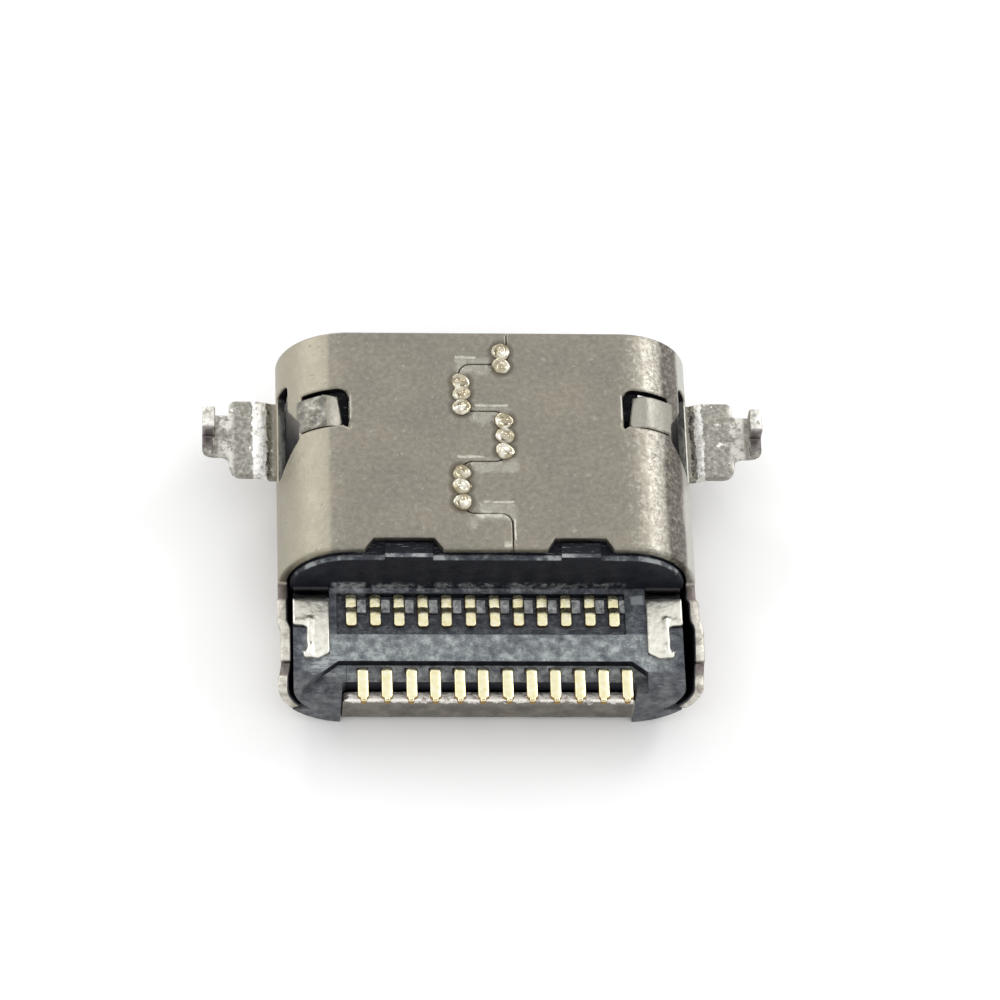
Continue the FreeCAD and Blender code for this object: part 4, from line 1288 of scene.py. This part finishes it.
def moulding_colours(finish, eased):
    """Near black walls from painted shade, a worn shelf made paler by painted light, a painted highlight on
    the base's rim, grey ribs in the pocket, dull corners.
    """
    upward = finish.upward(0.78, 0.95, eased)
    wall = finish.grain((4.0, 4.0, 0.6), (0.3, 0.008, 0.009, 0.013), (0.7, 0.018, 0.019, 0.026))
    mottle = finish.grain(
        (4.5, 6.0, 0.76), (0.33, 0.085, 0.095, 0.11), (0.5, 0.225, 0.245, 0.255),
        (0.66, 0.50, 0.53, 0.53))
    deep = finish.grain(
        (5.0, 6.0, 0.74, 5.0), (0.30, 0.025, 0.03, 0.038), (0.5, 0.075, 0.082, 0.095),
        (0.70, 0.20, 0.215, 0.23))
    open_shelf = finish.depth.between(6.46, 7.36, 0.04) * finish.x.between(-3.75, 3.75, 0.3)
    rear_floor = finish.depth.between(7.09, 7.55, 0.03) * finish.x.between(-3.2, 3.1, 0.3)
    mottle = finish.blend(open_shelf | rear_floor, deep, mottle)
    behind_tube = finish.depth.spread(base_end - 0.03, base_end + 0.02)
    # Painted light and shade: up-facing faces behind the tube take the pale worn mottle, all others the
    # near black wall colour.
    finish.colour = finish.blend(upward * behind_tube, wall, mottle)
    # Painted highlight along the base's rounded rim.
    base_rim_highlight = finish.depth.between(5.275, 5.362, 0.01) * finish.upward(0.20, 0.60, eased)
    finish.lay(base_rim_highlight * finish.z.spread(middle + 0.3, middle + 0.5), finish.grain(
        (2.6, 5.0, 0.65, 15.0), (0.42, 0.05, 0.055, 0.065), (0.52, 0.12, 0.13, 0.14),
        (0.60, 0.34, 0.36, 0.36)))
    ribs = finish.depth.between(5.62, 5.95, 0.02) * finish.z.between(1.44, 1.49, 0.01)
    finish.lay(ribs * finish.x.between(-3.1, 2.9, 0.02), finish.grain(
        (7.0, 5.0, 0.75, 81.0), (0.36, 0.11, 0.11, 0.115), (0.5, 0.34, 0.345, 0.345),
        (0.64, 0.66, 0.67, 0.65)), 0.85)
    corners = finish.depth.spread(7.30, 7.40) * finish.size_across.spread(2.98, 3.06)
    finish.lay(corners, finish.grain(
        (4.0, 5.0, 0.7, 91.0), (0.34, 0.05, 0.052, 0.06), (0.5, 0.10, 0.104, 0.112),
        (0.68, 0.17, 0.175, 0.18)))
    return upward


def moulding_marks(finish, upward):
    """Fine scratches, slanted ones beside the left wing, and scuffs along the foot of the base."""
    fine = finish.noise(3.0, 5.0, 0.7, 0.0, (1.0, 14.0, 1.0), 8.0).rise(0.58, 0.66, 0.5)
    finish.lay(upward * fine, (0.40, 0.42, 0.43))
    lines = finish.noise(2.6, 4.0, 0.6, 0.0, (1.0, 9.0, 1.0), 40.0).rise(0.50, 0.56, 0.7)
    slanted = upward * (finish.patch(-3.70, -3.12, 6.93, 7.34, 0.05, 0.10) * lines)
    low_wall = finish.z.fall(middle + 0.16, middle + 0.30)
    left_scuff = low_wall * (finish.patch(-3.24, -2.58, 5.24, 5.50, 0.06, 0.12) * finish.noise(
        6.0, 5.0, 0.7, 1.0).spread(0.38, 0.62, 0.0, 0.8))
    foot_scuff = low_wall * (finish.patch(-2.4, 2.9, 5.36, 5.46, 0.04, 0.12) * finish.noise(
        5.0, 5.0, 0.7, 8.0).spread(0.46, 0.64, 0.0, 0.7))
    corner_scuff = upward * (finish.patch(3.0, 3.28, 5.54, 5.74, 0.03, 0.10) * 0.6)
    finish.lay(left_scuff | foot_scuff | corner_scuff | slanted, (0.42, 0.44, 0.45))


def plastic_finish():
    """Dark moulding: painted shade makes it near black on its walls; painted light and scuffs make it paler
    where it faces up, and it is scratched there too.
    """
    finish = Finish("housing_plastic", False)
    finish.shader.inputs["Specular IOR Level"].default_value = 0.12
    eased = finish.soft_edges(0.025)
    moulding_marks(finish, moulding_colours(finish, eased))
    normal = finish.bump(finish.noise(7.0, 5.0, 0.65), 0.014, eased)
    return finish.done(finish.noise(6.0, 4.0), 0.42, 0.60, normal)


def cleaned(node, name):
    """Copy of a solid's mesh with its doubled corners joined and its flat faces made whole."""
    shape = bmesh.new()
    shape.from_mesh(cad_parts[node].data)
    bmesh.ops.remove_doubles(shape, verts=shape.verts, dist=0.001 * MM)
    bmesh.ops.dissolve_degenerate(shape, edges=shape.edges, dist=0.0005 * MM)
    bmesh.ops.dissolve_limit(
        shape, angle_limit=math.radians(0.4), use_dissolve_boundaries=False, verts=shape.verts,
        edges=shape.edges)
    bmesh.ops.triangulate(shape, faces=shape.faces, quad_method="BEAUTY", ngon_method="BEAUTY")
    mesh = bpy.data.meshes.new(name)
    shape.to_mesh(mesh)
    shape.free()
    mesh.shade_flat()
    made = bpy.data.objects.new(name, mesh)
    bpy.context.scene.collection.objects.link(made)
    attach(made, "root")
    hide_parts(node)
    return made


def make_camera():
    """Camera at the photograph's angle."""
    turn, rise, roll = camera_turn, camera_rise, camera_roll
    back = Vector((-math.sin(turn) * math.cos(rise), -math.cos(turn) * math.cos(rise), math.sin(rise)))
    level = Vector((math.cos(turn), -math.sin(turn), 0.0))
    upright = back.cross(level)
    right = level * math.cos(roll) - upright * math.sin(roll)
    up = level * math.sin(roll) + upright * math.cos(roll)
    place = back * camera_distance - right * camera_shift_across - up * camera_shift_up
    place.y += mouth_y
    lens = bpy.data.cameras.new("camera")
    lens.sensor_width = sensor_width
    lens.lens = sensor_width * camera_scale * camera_distance / photo_width
    lens.clip_start = 0.001
    lens.clip_end = 10.0
    camera = bpy.data.objects.new("camera", lens)
    pose = Matrix((right, up, back)).transposed().to_4x4()
    pose.translation = place * MM
    camera.matrix_world = pose
    bpy.context.scene.collection.objects.link(camera)
    bpy.context.scene.camera = camera


def make_light(name, place, target, size, power, colour=(1.0, 1.0, 1.0)):
    """Soft area light at a place in millimetres, turned to a target."""
    light = bpy.data.lights.new(name, "AREA")
    light.shape = "RECTANGLE"
    light.size = size[0] * MM
    light.size_y = size[1] * MM
    light.energy = power
    light.color = colour
    lamp = bpy.data.objects.new(name, light)
    start = Vector(place) * MM
    lamp.location = start
    lamp.rotation_euler = (Vector(target) * MM - start).to_track_quat("-Z", "Y").to_euler()
    bpy.context.scene.collection.objects.link(lamp)


def make_stage():
    """Pale floor and soft light all round."""
    size = 400 * MM
    mesh = bpy.data.meshes.new("floor")
    mesh.from_pydata(
        [(-size, -size, 0), (size, -size, 0), (size, size, 0), (-size, size, 0)], [], [(0, 1, 2, 3)])
    floor = bpy.data.objects.new("floor", mesh)
    bpy.context.scene.collection.objects.link(floor)
    material = bpy.data.materials.new("pale_floor")
    material.use_nodes = True
    shader = material.node_tree.nodes["Principled BSDF"]
    shader.inputs["Base Color"].default_value = (0.97, 0.97, 0.97, 1.0)
    shader.inputs["Roughness"].default_value = 0.9
    shader.inputs["Specular IOR Level"].default_value = 0.1
    mesh.materials.append(material)
    world = bpy.data.worlds.new("soft_light")
    world.use_nodes = True
    background = world.node_tree.nodes["Background"]
    background.inputs["Color"].default_value = (1.0, 1.0, 1.0, 1.0)
    background.inputs["Strength"].default_value = world_strength
    bpy.context.scene.world = world
    bpy.context.scene.view_settings.view_transform = "Standard"
    make_light("left_light", (-90, 60, 50), (0, 0, 0), (60, 60), left_power)
    make_light("right_light", (62, 50, 60), (0, 0, 0), (30, 30), right_power)
    make_light("high_light", (-28, 80, 50), (0, 0, 0), (14, 14), high_power)


def dress_all():
    """Finishes of every piece."""
    gold = gold_finish()
    plate_metal = plate_finish()
    black = plastic_finish()
    make_shell(shell_finish(), inner_finish(), cut_finish())
    dress(make_weld_spots(), weld_finish())
    dress(make_plate(), plate_metal, plate_metal)
    for contact in make_contacts():
        dress(contact, gold, gold)
    mouldings = {
        "housing": "moulding", "board_row_block": "foot_block", "floor_row_block": "tail_block"}
    for node, name in mouldings.items():
        dress(cleaned(node, name), black)
    for node in ("board_side_shield", "floor_side_shield"):
        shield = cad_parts[node]
        shield.data.materials.clear()
        dress(shield, plate_metal)


make_camera()
make_stage()
dress_all()
